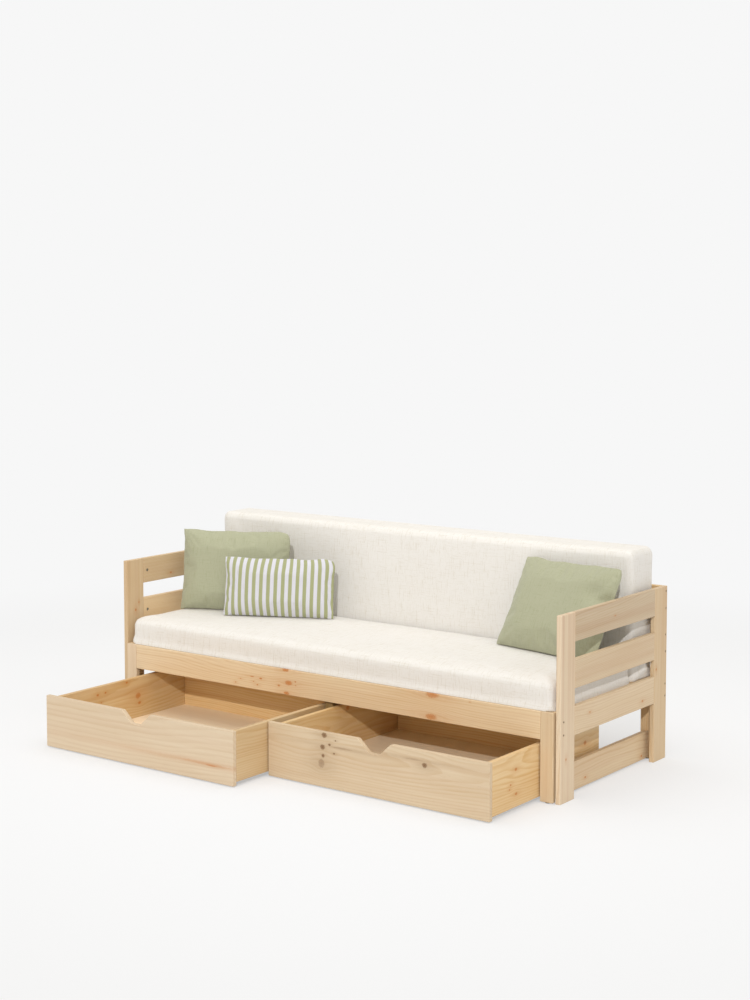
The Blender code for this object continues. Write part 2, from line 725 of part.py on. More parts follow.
def build_cushions(frame, pull_out):
    seat_size = (CUSHION_LENGTH, SEAT_BACK - SEAT_FRONT, SEAT_THICKNESS)
    seat_mesh = box_cushion_mesh("seat_cushion", *seat_size, SEAT_EDGE, SEAT_CROWN, SEAT_DRAW_IN)
    flatten(seat_mesh, 2, -SEAT_THICKNESS / 2, SEAT_EDGE / 2)
    seat_place = (0, (SEAT_FRONT + SEAT_BACK) / 2, SEAT_TOP - SEAT_THICKNESS / 2)
    seat = new_part("seat_cushion", seat_mesh, seat_place, pull_out, "linen")
    soften(seat)

    back_size = (CUSHION_LENGTH, BACK_HEIGHT, BACK_THICKNESS)
    back_mesh = box_cushion_mesh("back_cushion", *back_size, BACK_EDGE, BACK_CROWN, BACK_DRAW_IN)
    flatten(back_mesh, 1, -BACK_HEIGHT / 2, BACK_EDGE / 2)
    back_place = (
        0,
        BACK_CUSHION_FRONT + BACK_THICKNESS / 2,
        DECK_HEIGHT + FIT_GAP + BACK_HEIGHT / 2,
    )
    soften(new_part("back_cushion", back_mesh, back_place, frame, "linen", UPRIGHT))
    return seat


def lower_onto(pillow, seat):
    """Lower a pillow until its lowest corner all but rests on the seat below it."""
    bpy.context.view_layer.update()
    graph = bpy.context.evaluated_depsgraph_get()
    surface = BVHTree.FromObject(seat, graph)
    to_seat = seat.matrix_world.inverted()
    skin = pillow.evaluated_get(graph)
    gaps = []
    for vert in skin.data.vertices:
        start = to_seat @ (pillow.matrix_world @ vert.co)
        gaps.append(surface.ray_cast(start, Vector((0, 0, -1)))[3])
    pillow.location.z -= min(gap for gap in gaps if gap is not None) - FIT_GAP


def build_pillow(name, size, from_arm, from_back, yaw, lean, seat, material):
    """A pillow that stands on the seat on its lower edge and leans back."""
    place = (from_arm, BACK_CUSHION_FRONT - from_back, SEAT_TOP + SEAT_THICKNESS)
    rotation = (pi / 2 - lean, 0, yaw)
    pillow = new_part(name, pillow_mesh(name, *size), place, seat.parent, material, rotation)
    soften(pillow)
    lower_onto(pillow, seat)


def build_pillows(seat):
    build_pillow(
        "pillow_left",
        (LEFT_PILLOW_WIDTH, LEFT_PILLOW_HEIGHT, LEFT_PILLOW_THICKNESS),
        LEFT_PILLOW_FROM_ARM - ARM_INNER,
        LEFT_PILLOW_FROM_BACK,
        LEFT_PILLOW_YAW,
        LEFT_PILLOW_LEAN,
        seat,
        "sage_linen",
    )
    build_pillow(
        "pillow_striped",
        (STRIPED_PILLOW_WIDTH, STRIPED_PILLOW_HEIGHT, STRIPED_PILLOW_THICKNESS),
        STRIPED_PILLOW_FROM_ARM - ARM_INNER,
        STRIPED_PILLOW_FROM_BACK,
        STRIPED_PILLOW_YAW,
        STRIPED_PILLOW_LEAN,
        seat,
        "striped_linen",
    )
    build_pillow(
        "pillow_right",
        (RIGHT_PILLOW_WIDTH, RIGHT_PILLOW_HEIGHT, RIGHT_PILLOW_THICKNESS),
        ARM_INNER - RIGHT_PILLOW_FROM_ARM,
        RIGHT_PILLOW_FROM_BACK,
        RIGHT_PILLOW_YAW,
        RIGHT_PILLOW_LEAN,
        seat,
        "sage_linen",
    )


def build_sofa():
    frame = new_empty("frame_origin", (0, 0, 0))
    pull_out = new_empty("pull_out_slide", (0, FRONT_FACE, 0), frame)
    for side, label in ((-1, "left"), (1, "right")):
        build_arm(side, label, frame)
    build_fixed_frame(frame)
    build_pull_out_frame(pull_out)
    build_drawers()
    build_pillows(build_cushions(frame, pull_out))


clear_scene()
PARTS = new_collection("storage_sofa_bed")
CUTTERS = new_collection("cutters")
new_materials()
build_sofa()
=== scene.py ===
"""Looks of a pine storage sofa bed.

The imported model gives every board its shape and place. This file gives the boards their grain, lays
separate slats where the model joins them to their beams, sets screws and cam discs in their holes,
and sews and fills the cushions and pillows. Lengths are in metres.
"""

from math import pi, radians, sin

import bmesh
import bpy
import numpy as np
from bpy.props import FloatProperty, FloatVectorProperty, PointerProperty
from mathutils import Matrix, Vector, noise
from mathutils.bvhtree import BVHTree


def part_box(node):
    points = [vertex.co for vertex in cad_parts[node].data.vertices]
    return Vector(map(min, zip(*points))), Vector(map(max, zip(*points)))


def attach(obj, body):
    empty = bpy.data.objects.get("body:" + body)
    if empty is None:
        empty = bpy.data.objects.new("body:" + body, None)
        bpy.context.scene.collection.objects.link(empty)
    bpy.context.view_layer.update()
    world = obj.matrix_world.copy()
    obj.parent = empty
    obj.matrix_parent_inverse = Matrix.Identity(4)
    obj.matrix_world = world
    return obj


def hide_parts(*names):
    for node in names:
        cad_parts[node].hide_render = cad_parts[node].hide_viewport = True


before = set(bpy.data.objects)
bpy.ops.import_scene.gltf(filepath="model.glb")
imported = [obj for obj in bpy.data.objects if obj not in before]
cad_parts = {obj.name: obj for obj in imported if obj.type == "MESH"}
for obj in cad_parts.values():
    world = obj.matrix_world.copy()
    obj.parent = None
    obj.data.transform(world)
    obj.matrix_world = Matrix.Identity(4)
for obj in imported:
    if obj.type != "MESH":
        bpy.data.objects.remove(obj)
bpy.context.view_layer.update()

bl_info = {
    "name": "Pine storage sofa bed",
    "version": (1, 0, 0),
    "blender": (4, 5, 0),
    "location": "View3D > Sidebar > Sofa Bed",
    "description": "Gives a storage sofa bed its grain, slats, fittings and filled cushions",
    "category": "Object",
}

# Knots of single boards: place along and across the board from its middle, radius, and for some
# how many times longer than wide they are
KNOTS = {
    "front_rail": [
        (-0.147, -0.002, 0.0085, 1.9), (-0.161, 0.043, 0.0062, 2.3), (-0.157, -0.04, 0.006, 2.0),
        (-0.192, -0.017, 0.0038), (-0.116, 0.006, 0.003), (-0.114, -0.007, 0.0018),
        (-0.277, -0.003, 0.0034, 1.9), (-0.293, -0.028, 0.0024, 1.8), (-0.311, -0.018, 0.0018, 1.6),
        (-0.318, -0.001, 0.0018, 5.0), (-0.373, -0.015, 0.0016, 2.2), (-0.397, -0.032, 0.0022),
        (0.476, 0.042, 0.011, 2.3), (0.472, -0.034, 0.01, 2.3), (0.628, 0.038, 0.0015)],
    "drawer_right_front": [
        (-0.204, 0.083, 0.0086), (-0.182, 0.054, 0.0044), (-0.211, 0.042, 0.0082),
        (-0.157, 0.071, 0.0024), (-0.163, 0.027, 0.0032), (-0.216, -0.013, 0.015, 0.8),
        (-0.209, 0.013, 0.0066, 0.9), (0.201, 0.047, 0.0078)],
    "drawer_left_side_left": [
        (-0.152, 0.057, 0.005), (-0.112, 0.059, 0.004), (-0.001, 0.077, 0.0045),
        (0.059, 0.016, 0.011), (0.066, -0.012, 0.006), (-0.134, 0.025, 0.0025)],
    "drawer_right_side_right": [
        (-0.199, 0.035, 0.0055), (-0.229, -0.009, 0.0035), (-0.197, -0.044, 0.005),
        (-0.235, -0.023, 0.0028), (0.238, 0.029, 0.0075)],
    "drawer_right_side_left": [(0.016, 0.072, 0.008)],
    "arm_right_top_rail": [(-0.012, -0.002, 0.0022)],
    "arm_right_seat_rail": [(0.188, -0.022, 0.004), (-0.176, 0.01, 0.003)],
    "arm_right_rear_post": [(0.022, -0.032, 0.004)],
    "arm_right_front_post": [(-0.165, -0.009, 0.0035)],
    "arm_left_top_rail": [(-0.12, -0.027, 0.004)],
    "arm_left_front_post": [(0.139, 0.019, 0.003), (0.112, 0.001, 0.0045)],
    "side_runner_right": [(0.279, -0.033, 0.004), (-0.114, -0.02, 0.004)],
    "back_top_rail": [(0.31, 0.018, 0.008), (-0.52, -0.025, 0.006)],
    "back_middle_rail": [(-0.24, 0.01, 0.009), (0.64, -0.02, 0.005)],
}
# Long narrow resin marks: place along and across, half width, length over width, depth of tone
RESIN_MARKS = {
    "drawer_left_front": [(0.322, -0.034, 0.0046, 24.0, 0.3), (0.35, -0.0365, 0.003, 9.0, 0.75)],
    "drawer_right_front": [(-0.13, 0.049, 0.0034, 12.0, 0.3), (0.16, 0.06, 0.003, 13.0, 0.22)],
}
KNOT_STRETCH = 1.2          # length over width of a knot whose row doesn't say

# Dead knots are greyer than the orange ones that most boards have
DEAD_KNOT_BOARDS = ("drawer_right_front",)

# How each board looks: from 0 (pale and rosy) to 1 (golden) and on, how light it is, how far its
# middle lay from the pith (far gives straight lines, near gives arches), its rosy streaks, and how
# wide its year rings are. The drawers' sides and backs go past golden, and their backs past full
# lightness. This is partly the boards' own tone and partly painted warm bounce light in the shade
# inside the drawers. The front centre leg is dark and golden as painted shade under the front beam.
BOARD_TONES_AND_SHADE = {
    "drawer_left_front": (0.15, 0.88, 0.13, 0.08, 2.6),
    "drawer_right_front": (0.38, 0.85, 0.05, 0.10, 2.0),
    "front_rail": (0.60, 0.99, 0.07, 0.10, 1.4),
    "front_leg_right": (0.52, 0.90, 0.13, 0.16, 1.0),
    "front_leg_left": (0.18, 0.965, 0.13, 0.14, 1.0),
    "arm_right_front_post": (0.08, 0.955, 0.15, 0.50, 1.0),
    "arm_right_rear_post": (0.65, 0.87, 0.14, 0.30, 1.0),
    "arm_right_top_rail": (0.30, 0.76, 0.10, 0.25, 1.0),
    "arm_right_middle_rail": (0.36, 0.86, 0.12, 0.18, 1.2),
    "arm_right_seat_rail": (0.40, 0.905, 0.10, 0.16, 1.2),
    "arm_left_front_post": (0.70, 0.85, 0.12, 0.20, 1.0),
    "arm_left_rear_post": (0.75, 0.86, 0.12, 0.20, 1.0),
    "arm_left_top_rail": (0.75, 0.83, 0.10, 0.16, 1.0),
    "arm_left_middle_rail": (0.78, 0.98, 0.10, 0.14, 1.0),
    "arm_left_seat_rail": (0.70, 0.86, 0.10, 0.16, 1.0),
    "side_runner_right": (0.56, 0.905, 0.08, 0.16, 1.2),
    # Drawer sides and backs: partly their own tone, partly painted warm bounce light in the drawers'
    # shade
    "drawer_left_side_right": (1.08, 0.83, 0.09, 0.10, 1.5),
    "drawer_left_side_left": (1.30, 0.88, 0.07, 0.28, 1.7),
    "drawer_left_back": (1.35, 1.05, 0.07, 0.40, 1.6),
    "drawer_right_side_right": (1.28, 0.99, 0.07, 0.10, 1.3),
    "drawer_right_side_left": (1.42, 0.91, 0.03, 0.32, 2.0),
    "drawer_right_back": (1.40, 1.08, 0.07, 0.35, 1.6),
    # Centre leg: dark and golden, painted shade under the front beam
    "centre_leg_front": (1.80, 0.42, 0.12, 0.16, 1.0),
}
TONE_ELSEWHERE = (1.00, 0.98, 0.06, 0.16, 1.0)

SOFT_NODES = ("seat_cushion", "back_cushion", "pillow_left", "pillow_striped", "pillow_right")
FUSED_NODES = ("fixed_slats_on_rear_beam", "sliding_slats_on_cross_rail")


def linear(red, green, blue):
    """A colour as read from a screen, 0 to 255, as the linear values that shaders use."""
    shares = [value / 255 for value in (red, green, blue)]
    return tuple(s / 12.92 if s <= 0.04045 else ((s + 0.055) / 1.055) ** 2.4 for s in shares)


def blend_colours(first, second, share):
    return tuple(a + (b - a) * share for a, b in zip(first, second))


def toned(colour, share):
    """A colour with all of its values scaled by one share, or each by its own."""
    shares = (share,) * 3 if isinstance(share, float) else share
    return tuple(min(1.0, value * part) for value, part in zip(colour, shares))


# ---------------------------------------------------------------- sizes and colours


def length(name, description, default):
    return FloatProperty(name=name, description=description, default=default, unit="LENGTH")


def tint(name, description, default):
    return FloatVectorProperty(name=name, description=description, default=default,
                               subtype="COLOR", min=0, max=1)


class SofaSizes(bpy.types.PropertyGroup):
    """Sizes that a maker would change."""

    slat_width: length("Slat Width", "Width of one deck slat", 0.060)
    slat_ease: length("Slat Edge", "Rounding of the slats' edges", 0.0022)
    screw_radius: length("Screw Radius", "Radius of a screw head in a post", 0.0038)
    slat_screw_radius: length("Slat Screw Radius", "Radius of a screw head in a slat", 0.0036)
    cam_radius: length("Cam Radius", "Radius of a cam disc in an arm rail", 0.0058)
    ring_gap: length("Ring Gap", "Distance between two year rings of the pine", 0.0046)
    thread_pitch: length("Thread Pitch", "Distance between two threads of the linen", 0.0011)
    stripe_pitch: length("Stripe Pitch", "Distance from one white stripe to the next", 0.0277)


class SofaColours(bpy.types.PropertyGroup):
    """Colours that a maker would change."""

    rosy_light: tint("Rosy Early Wood", "Early wood of a pale, rosy board", linear(229, 211, 186))
    rosy_dark: tint("Rosy Late Wood", "Late wood of a pale, rosy board", linear(209, 183, 150))
    golden_light: tint("Golden Early Wood", "Early wood of a golden board", linear(229, 204, 165))
    golden_dark: tint("Golden Late Wood", "Late wood of a golden board", linear(206, 166, 112))
    knot_heart: tint("Knot", "Heart of a knot", linear(188, 114, 48))
    dead_knot: tint("Dead Knot", "Heart of a greyer knot", linear(116, 82, 50))
    # The plywood's own pale veneer, lifted further as painted light for the dim insides of the
    # drawers
    plywood: tint("Plywood", "Face veneer of the drawer bottoms", linear(249, 230, 201))
    linen: tint("Off-white Linen", "Cover of the two cushions", linear(229, 226, 222))
    sage: tint("Sage Linen", "Cover of the plain pillows", linear(169, 170, 144))
    stripe_white: tint("White Stripe", "Light stripes of the small pillow", linear(210, 209, 218))
    stripe_sage: tint("Sage Stripe", "Green stripes of the small pillow", linear(161, 164, 124))
    steel: tint("Zinc Steel", "Screws, cam discs and roller brackets", (0.55, 0.55, 0.54))
    roller: tint("Roller", "Moulded drawer rollers", (0.035, 0.035, 0.037))
    felt: tint("Felt", "Pressed felt under the legs", (0.22, 0.19, 0.16))
    backdrop: tint("Backdrop", "Pale backdrop as the camera sees it", linear(247, 247, 247))
    floor: tint("Floor", "Pale floor that takes the shadow", (0.875, 0.89, 0.93))
    sky: tint("Sky", "Tint of the even light around", (1.0, 0.965, 0.88))


class SofaLight(bpy.types.PropertyGroup):
    """Lamps and world."""

    sun: FloatProperty(name="Sun", description="Strength of the sun", default=1.34)
    overhead: FloatProperty(
        name="Overhead", description="Power of the soft lamp above", default=46.0, unit="POWER")
    sky: FloatProperty(name="Sky", description="Strength of the even light around", default=0.66)


def sizes():
    return bpy.context.scene.sofa_sizes


def colours():
    return bpy.context.scene.sofa_colours


def light():
    return bpy.context.scene.sofa_light


# ---------------------------------------------------------------- shader building


class Shader:
    """Adds and wires the nodes of one material or node group."""

    def __init__(self, tree):
        self.tree = tree

    def feed(self, socket, value):
        if isinstance(value, bpy.types.NodeSocket):
            self.tree.links.new(value, socket)
        elif socket.type == "RGBA" and len(value) == 3:
            socket.default_value = (*value, 1.0)
        else:
            socket.default_value = value

    def feed_all(self, node, values):
        for name, value in values.items():
            self.feed(node.inputs[name], value)

    def node(self, kind, inputs=None, **settings):
        node = self.tree.nodes.new("ShaderNode" + kind)
        for name, value in settings.items():
            setattr(node, name, value)
        self.feed_all(node, inputs or {})
        return node

    def group(self, name, maker, given):
        """Adds a node group, which is made the first time. Returns its outputs."""
        tree = bpy.data.node_groups.get(name) or maker()
        return self.node("Group", given, node_tree=tree).outputs

    def math(self, operation, *values, clamp=False):
        node = self.node("Math", operation=operation, use_clamp=clamp)
        for socket, value in zip(node.inputs, values):
            self.feed(socket, value)
        return node.outputs[0]

    def times(self, value, factor, plus=None, clamp=False):
        """A value times a factor, plus a third value where one is given."""
        if plus is None:
            return self.math("MULTIPLY", value, factor, clamp=clamp)
        return self.math("MULTIPLY_ADD", value, factor, plus, clamp=clamp)

    def plus(self, first, second, clamp=False):
        return self.math("ADD", first, second, clamp=clamp)

    def minus(self, first, second):
        return self.math("SUBTRACT", first, second)

    def over(self, first, second):
        return self.math("DIVIDE", first, second)

    def squares(self, first, second):
        """The sum of two squares."""
        return self.plus(self.times(first, first), self.times(second, second))

    def swung(self, base, value, reach, clamp=False):
        """A base moved both ways by a noise, whose middle is one half."""
        return self.times(self.minus(value, 0.5), reach, base, clamp)

    def vector_math(self, operation, *values):
        node = self.node("VectorMath", operation=operation)
        for socket, value in zip(node.inputs, values):
            self.feed(socket, value)
        return node.outputs[0]

    def ramp(self, value, start, end, low=0.0, high=1.0):
        """A smooth step from low at start to high at end."""
        node = self.node("MapRange", {0: value, 1: start, 2: end, 3: low, 4: high},
                         interpolation_type="SMOOTHSTEP")
        return node.outputs[0]

    def mix(self, share, first, second, blend="MIX"):
        node = self.node("Mix", {0: share, 6: first, 7: second}, data_type="RGBA",
                         blend_type=blend, clamp_result=True)
        return node.outputs[2]

    def noise(self, place, scale=1.0, detail=2.0, roughness=0.5):
        node = self.node("TexNoise", {"Vector": place, "Scale": scale, "Detail": detail,
                                      "Roughness": roughness})
        return node.outputs[0]

    def streaks(self, place, factors, detail, shift=None, roughness=0.5):
        """Noise over a place that is scaled by three factors, and shifted."""
        scaled = self.vector_math("MULTIPLY", place, factors)
        if shift:
            scaled = self.vector_math("ADD", scaled, shift)
        return self.noise(scaled, detail=detail, roughness=roughness)

    def axes(self, place):
        return self.node("SeparateXYZ", {0: place}).outputs

    def place_of(self, x, y, z=0.0):
        return self.node("CombineXYZ", {0: x, 1: y, 2: z}).outputs[0]

    def object_place(self):
        return self.node("TexCoord").outputs["Object"]

    def weave_place(self):
        return self.node("UVMap", uv_map="weave").outputs[0]


def new_group(name, inputs, outputs):
    """A node group, its builder and its inputs. An input without a default is a place."""
    tree = bpy.data.node_groups.new(name, "ShaderNodeTree")
    for socket, default in inputs.items():
        kind = "Vector" if default is None else "Float" if isinstance(default, float) else "Color"
        made = tree.interface.new_socket(socket, in_out="INPUT", socket_type="NodeSocket" + kind)
        if default is not None:
            made.default_value = default
    for socket in outputs:
        kind = "Color" if socket == "Color" else "Float"
        tree.interface.new_socket(socket, in_out="OUTPUT", socket_type="NodeSocket" + kind)
    return tree, Shader(tree), tree.nodes.new("NodeGroupInput").outputs


def finish_group(shader, values):
    shader.feed_all(shader.tree.nodes.new("NodeGroupOutput"), values)


def make_knot_group():
    """One knot, which bends the grain round itself. The knots of a board are chained."""
    tree, s, given = new_group(
        "pine_knot",
        {"Place": None, "Centre": None, "Radius": 0.005, "Stretch": KNOT_STRETCH, "Depth": 1.0,
         "Push": 0.0, "Heart": 0.0, "Halo": 0.0},
        ("Push", "Heart", "Halo"))
    offset = s.vector_math("SUBTRACT", given["Place"], given["Centre"])
    parts = s.axes(offset)
    along = s.over(parts[0], s.times(given["Radius"], given["Stretch"]))
    across = s.over(parts[1], given["Radius"])
    distance = s.math("SQRT", s.squares(along, across))
    ragged = s.swung(distance, s.streaks(offset, (230.0, 230.0, 230.0), 2.0), 1.0)
    rings = s.times(s.math("SINE", s.times(ragged, 9.0)), 0.11, 0.89)
    heart = s.times(s.times(s.ramp(ragged, 1.25, 0.62), rings), given["Depth"])
    streak = s.streaks(offset, (60.0, 420.0, 420.0), 1.0)
    far = s.squares(s.over(along, 1.9), across)
    halo = s.math("EXPONENT", s.times(far, -0.16))
    halo = s.times(halo, s.times(streak, 1.1, 0.35, clamp=True))
    reach = s.squares(s.over(along, 3.4), s.over(across, 2.7))
    push = s.times(parts[1], s.math("EXPONENT", s.times(reach, -1.0)))
    finish_group(s, {"Push": s.times(push, 0.88, given["Push"]),
                     "Heart": s.math("MAXIMUM", heart, given["Heart"]),
                     "Halo": s.math("MAXIMUM", halo, given["Halo"])})
    return tree


def make_pine_group():
    """Sawn pine: year rings round a wandering pith, fibres, resin dashes and knots."""
    tree, s, given = new_group(
        "pine_grain",
        {"Place": None, "Seed": 0.0, "Push": 0.0, "Heart": 0.0, "Halo": 0.0, "Ring Gap": 0.0046,
         "Late Share": 0.5, "Pith Depth": 0.05, "Pith Side": 0.0, "Rosy": 0.16,
         "Early Wood": (0.8, 0.62, 0.4, 1), "Late Wood": (0.6, 0.4, 0.2, 1),
         "Knot Wood": (0.2, 0.1, 0.04, 1)},
        ("Color", "Roughness", "Height"))
    place, seed = given["Place"], given["Seed"]
    parts = s.axes(place)
    wander = s.place_of(s.times(parts[0], 1.1, seed), seed)
    sway = s.noise(wander, detail=1.0)
    lift = s.noise(s.vector_math("ADD", wander, (7.3, 2.1, 4.7)), detail=1.0)
    side = s.swung(given["Pith Side"], sway, 0.11)
    depth = s.swung(given["Pith Depth"], lift, 0.09)
    shifted = s.vector_math("ADD", place, s.place_of(seed, seed))
    across = s.minus(s.minus(parts[1], given["Push"]), side)
    radius = s.math("SQRT", s.squares(across, s.plus(parts[2], depth)))
    radius = s.swung(radius, s.streaks(shifted, (5.0, 26.0, 26.0), 2.0), 0.011)
    years = s.over(radius, given["Ring Gap"])
    season = s.math("FRACT", years)
    year = s.node("TexWhiteNoise", {"W": s.math("FLOOR", years)}, noise_dimensions="1D").outputs[0]
    late = s.times(s.ramp(season, 0.30, 0.90), s.ramp(season, 1.0, 0.93))
    late = s.times(late, s.times(year, 0.65, 0.45))
    fibre = s.streaks(shifted, (14.0, 1100.0, 1100.0), 3.0)
    band = s.streaks(shifted, (1.7, 95.0, 95.0), 2.0, roughness=0.6)
    cloud = s.streaks(shifted, (2.2, 9.0, 9.0), 2.0)
    dash = s.ramp(s.streaks(shifted, (42.0, 850.0, 850.0), 1.0), 0.70, 0.78)

    tone = s.swung(s.times(late, given["Late Share"]), band, 0.60)
    tone = s.swung(s.swung(tone, fibre, 0.30), cloud, 0.60)
    colour = s.mix(s.plus(tone, 0.26, clamp=True), given["Early Wood"], given["Late Wood"])
    colour = s.mix(s.times(dash, 0.22), colour, given["Knot Wood"])
    rosy = s.ramp(s.streaks(shifted, (0.8, 30.0, 30.0), 1.0, (3.1, 8.2, 5.5)), 0.45, 0.72)
    colour = s.mix(s.times(rosy, given["Rosy"]), colour, (0.76, 0.56, 0.48), blend="MULTIPLY")
    halo_tone = s.mix(0.55, given["Late Wood"], given["Knot Wood"])
    colour = s.mix(s.times(given["Halo"], 0.40), colour, halo_tone)
    colour = s.mix(s.times(given["Heart"], 0.95), colour, given["Knot Wood"])

    rough = s.times(fibre, 0.10, s.times(late, -0.08, 0.50))
    height = s.times(late, 0.35, s.times(fibre, 0.5))
    height = s.times(given["Heart"], -0.25, height)
    finish_group(s, {"Color": colour, "Roughness": rough, "Height": height})
    return tree


def make_weave_group():
    """Plain woven linen: crossing threads, thick slubs both ways, and pale cross flecks."""
    tree, s, given = new_group(
        "linen_weave", {"Place": None, "Pitch": 0.0011, "Seed": 0.0},
        ("Height", "Upright Slubs", "Level Slubs", "Flecks", "Clouds"))
    parts, seed = s.axes(given["Place"]), given["Seed"]
    place = s.vector_math("ADD", given["Place"], s.place_of(seed, seed, seed))
    turn = s.over(2 * pi, given["Pitch"])
    warp = s.math("SINE", s.times(parts[0], turn))
    weft = s.math("SINE", s.times(parts[1], turn))
    threads = s.times(s.times(warp, weft), 0.5, 0.5)
    upright = s.ramp(s.streaks(place, (330.0, 22.0, 22.0), 2.0, roughness=0.6), 0.52, 0.76)
    level = s.streaks(place, (22.0, 330.0, 22.0), 2.0, (3.0, 9.0, 1.0), roughness=0.6)
    level = s.ramp(level, 0.52, 0.76)
    flecks = s.ramp(s.streaks(place, (420.0, 150.0, 150.0), 1.0, (1.0, 5.0, 2.0)), 0.60, 0.74)
    height = s.times(level, 0.5, s.times(upright, 0.8, threads))
    finish_group(s, {"Height": height, "Upright Slubs": upright, "Level Slubs": level,
                     "Flecks": flecks, "Clouds": s.noise(place, scale=6.0)})
    return tree


def make_scuff_group():
    """Fine scratches, dust and a mottled gloss for metal and plastic parts."""
    tree, s, given = new_group("scuffs", {"Place": None}, ("Scratches", "Dust", "Mottle"))
    place = given["Place"]
    finish_group(s, {"Scratches": s.ramp(s.streaks(place, (900.0, 60.0, 900.0), 2.0), 0.60, 0.75),
                     "Dust": s.ramp(s.noise(place, scale=90.0, detail=3.0), 0.50, 0.70),
                     "Mottle": s.noise(place, scale=350.0)})
    return tree


def new_material(name):
    """A material with an empty tree, its builder, its Principled shader and its output wired."""
    material = bpy.data.materials.new(name)
    material.use_nodes = True
    material.node_tree.nodes.clear()
    shader = Shader(material.node_tree)
    surface = shader.node("BsdfPrincipled")
    out = shader.node("OutputMaterial")
    shader.feed(out.inputs["Surface"], surface.outputs[0])
    return material, shader, surface


def bump(s, surface, height, strength, distance):
    node = s.node("Bump", {"Height": height, "Strength": strength, "Distance": distance})
    s.feed(surface.inputs["Normal"], node.outputs[0])


def dress(piece, *materials):
    """Puts materials on a piece in place of what it had."""
    piece.data.materials.clear()
    for material in materials:
        piece.data.materials.append(material)


# ---------------------------------------------------------------- boards


def board_axes(low, high):
    """Rows that turn a place into one along, across and through a board, and the board's middle."""
    size = [high[k] - low[k] for k in range(3)]
    order = sorted(range(3), key=lambda k: -size[k])
    rows = [Vector([1.0 if k == axis else 0.0 for k in range(3)]) for axis in order]
    turn = Matrix(rows)
    if turn.determinant() < 0:
        rows[2].negate()
        turn = Matrix(rows)
    return turn, (Vector(low) + Vector(high)) / 2


def seed_of(name):
    """A number that is the same each run and differs from board to board."""
    return (sum((k + 3) * ord(letter) for k, letter in enumerate(name)) * 0.6180339) % 29.0


def board_colours_and_shade(name):
    tones = colours()
    # Gold and lightness past their plain range paint warm bounce light and shade on a few boards
    gold_and_bounce, lightness_and_shade, _, _, _ = BOARD_TONES_AND_SHADE.get(name, TONE_ELSEWHERE)
    early = blend_colours(tones.rosy_light, tones.golden_light, gold_and_bounce)
    late = blend_colours(tones.rosy_dark, tones.golden_dark, gold_and_bounce)
    return [tuple(max(0.0, value * lightness_and_shade) for value in tone) for tone in (early, late)]


def knot_depth(radius, dead):
    """Small knots are dark, and large ones are paler unless they are dead."""
    if dead:
        return 1.0 if radius < 0.012 else 0.50
    return min(1.0, max(0.84, 1.15 - 32.0 * radius))


def add_pine(s, surface, place, name, seed):
    """Wires the grain, with the board's own knots, into a material."""
    dead = name in DEAD_KNOT_BOARDS
    marks = [(*knot[:3], knot[3] if knot[3:] else KNOT_STRETCH, knot_depth(knot[2], dead))
             for knot in KNOTS.get(name, [])]
    so_far = {"Push": 0.0, "Heart": 0.0, "Halo": 0.0}
    for along, across, radius, stretch, depth in marks + RESIN_MARKS.get(name, []):
        knot = s.group("pine_knot", make_knot_group, {
            "Place": place, "Centre": (along, across, 0.0), "Radius": radius, "Stretch": stretch,
            "Depth": depth, **so_far})
        so_far = {key: knot[key] for key in so_far}
    early, late = board_colours_and_shade(name)
    _, _, pith_side, rosy, ring_width = BOARD_TONES_AND_SHADE.get(name, TONE_ELSEWHERE)
    spread = seed_of(name + "_pith") % 1.0
    grain = s.group("pine_grain", make_pine_group, {
        "Place": place, "Seed": seed, **so_far,
        "Ring Gap": sizes().ring_gap * ring_width * (0.85 + 0.4 * spread),
        "Late Share": 0.50 / ring_width ** 0.6, "Pith Depth": 0.045 + 0.05 * spread,
        "Pith Side": pith_side, "Rosy": rosy, "Early Wood": early, "Late Wood": late,
        "Knot Wood": tuple(colours().dead_knot if dead else colours().knot_heart)})
    s.feed_all(surface, {"Base Color": grain["Color"], "Roughness": grain["Roughness"],
                         "Specular IOR Level": 0.35})
    bump(s, surface, grain["Height"], 0.25, 0.0004)


def pine_for_board(name, low, high):
    """The material of one board: its grain runs along it, from its own place in the log."""
    material, s, surface = new_material("pine_" + name)
    turn, middle = board_axes(low, high)
    mapping = s.node("Mapping", {"Vector": s.object_place(), "Location": -(turn @ middle),
                                 "Rotation": turn.to_euler()})
    add_pine(s, surface, mapping.outputs[0], name, seed_of(name))
    return material


def veneer(name):
    """Peeled veneer: wide soft figure across the drawer."""
    material, s, surface = new_material("veneer_" + name)
    low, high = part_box(name)
    place = s.vector_math("SUBTRACT", s.object_place(), tuple((Vector(low) + Vector(high)) / 2))
    shifted = s.vector_math("ADD", place, (seed_of(name), 0.0, 0.0))
    figure = s.streaks(shifted, (1.4, 14.0, 14.0), 3.0, roughness=0.6)
    fibre = s.streaks(shifted, (18.0, 700.0, 700.0), 2.0)
    tone = s.swung(s.ramp(figure, 0.35, 0.75), fibre, 0.5)
    base = tuple(colours().plywood)
    colour = s.mix(s.times(tone, 0.24, clamp=True), base, toned(base, (0.80, 0.72, 0.64)))
    s.feed_all(surface, {"Base Color": colour, "Roughness": s.times(fibre, 0.12, 0.50)})
    bump(s, surface, fibre, 0.15, 0.0003)
    return material


def node_slot(name):
    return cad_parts[name].data.materials[0].name.split(".")[0]


def nodes_with(slot):
    """CAD nodes that show and take one finish."""
    hidden = SOFT_NODES + FUSED_NODES
    return [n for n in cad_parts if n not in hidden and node_slot(n) == slot]


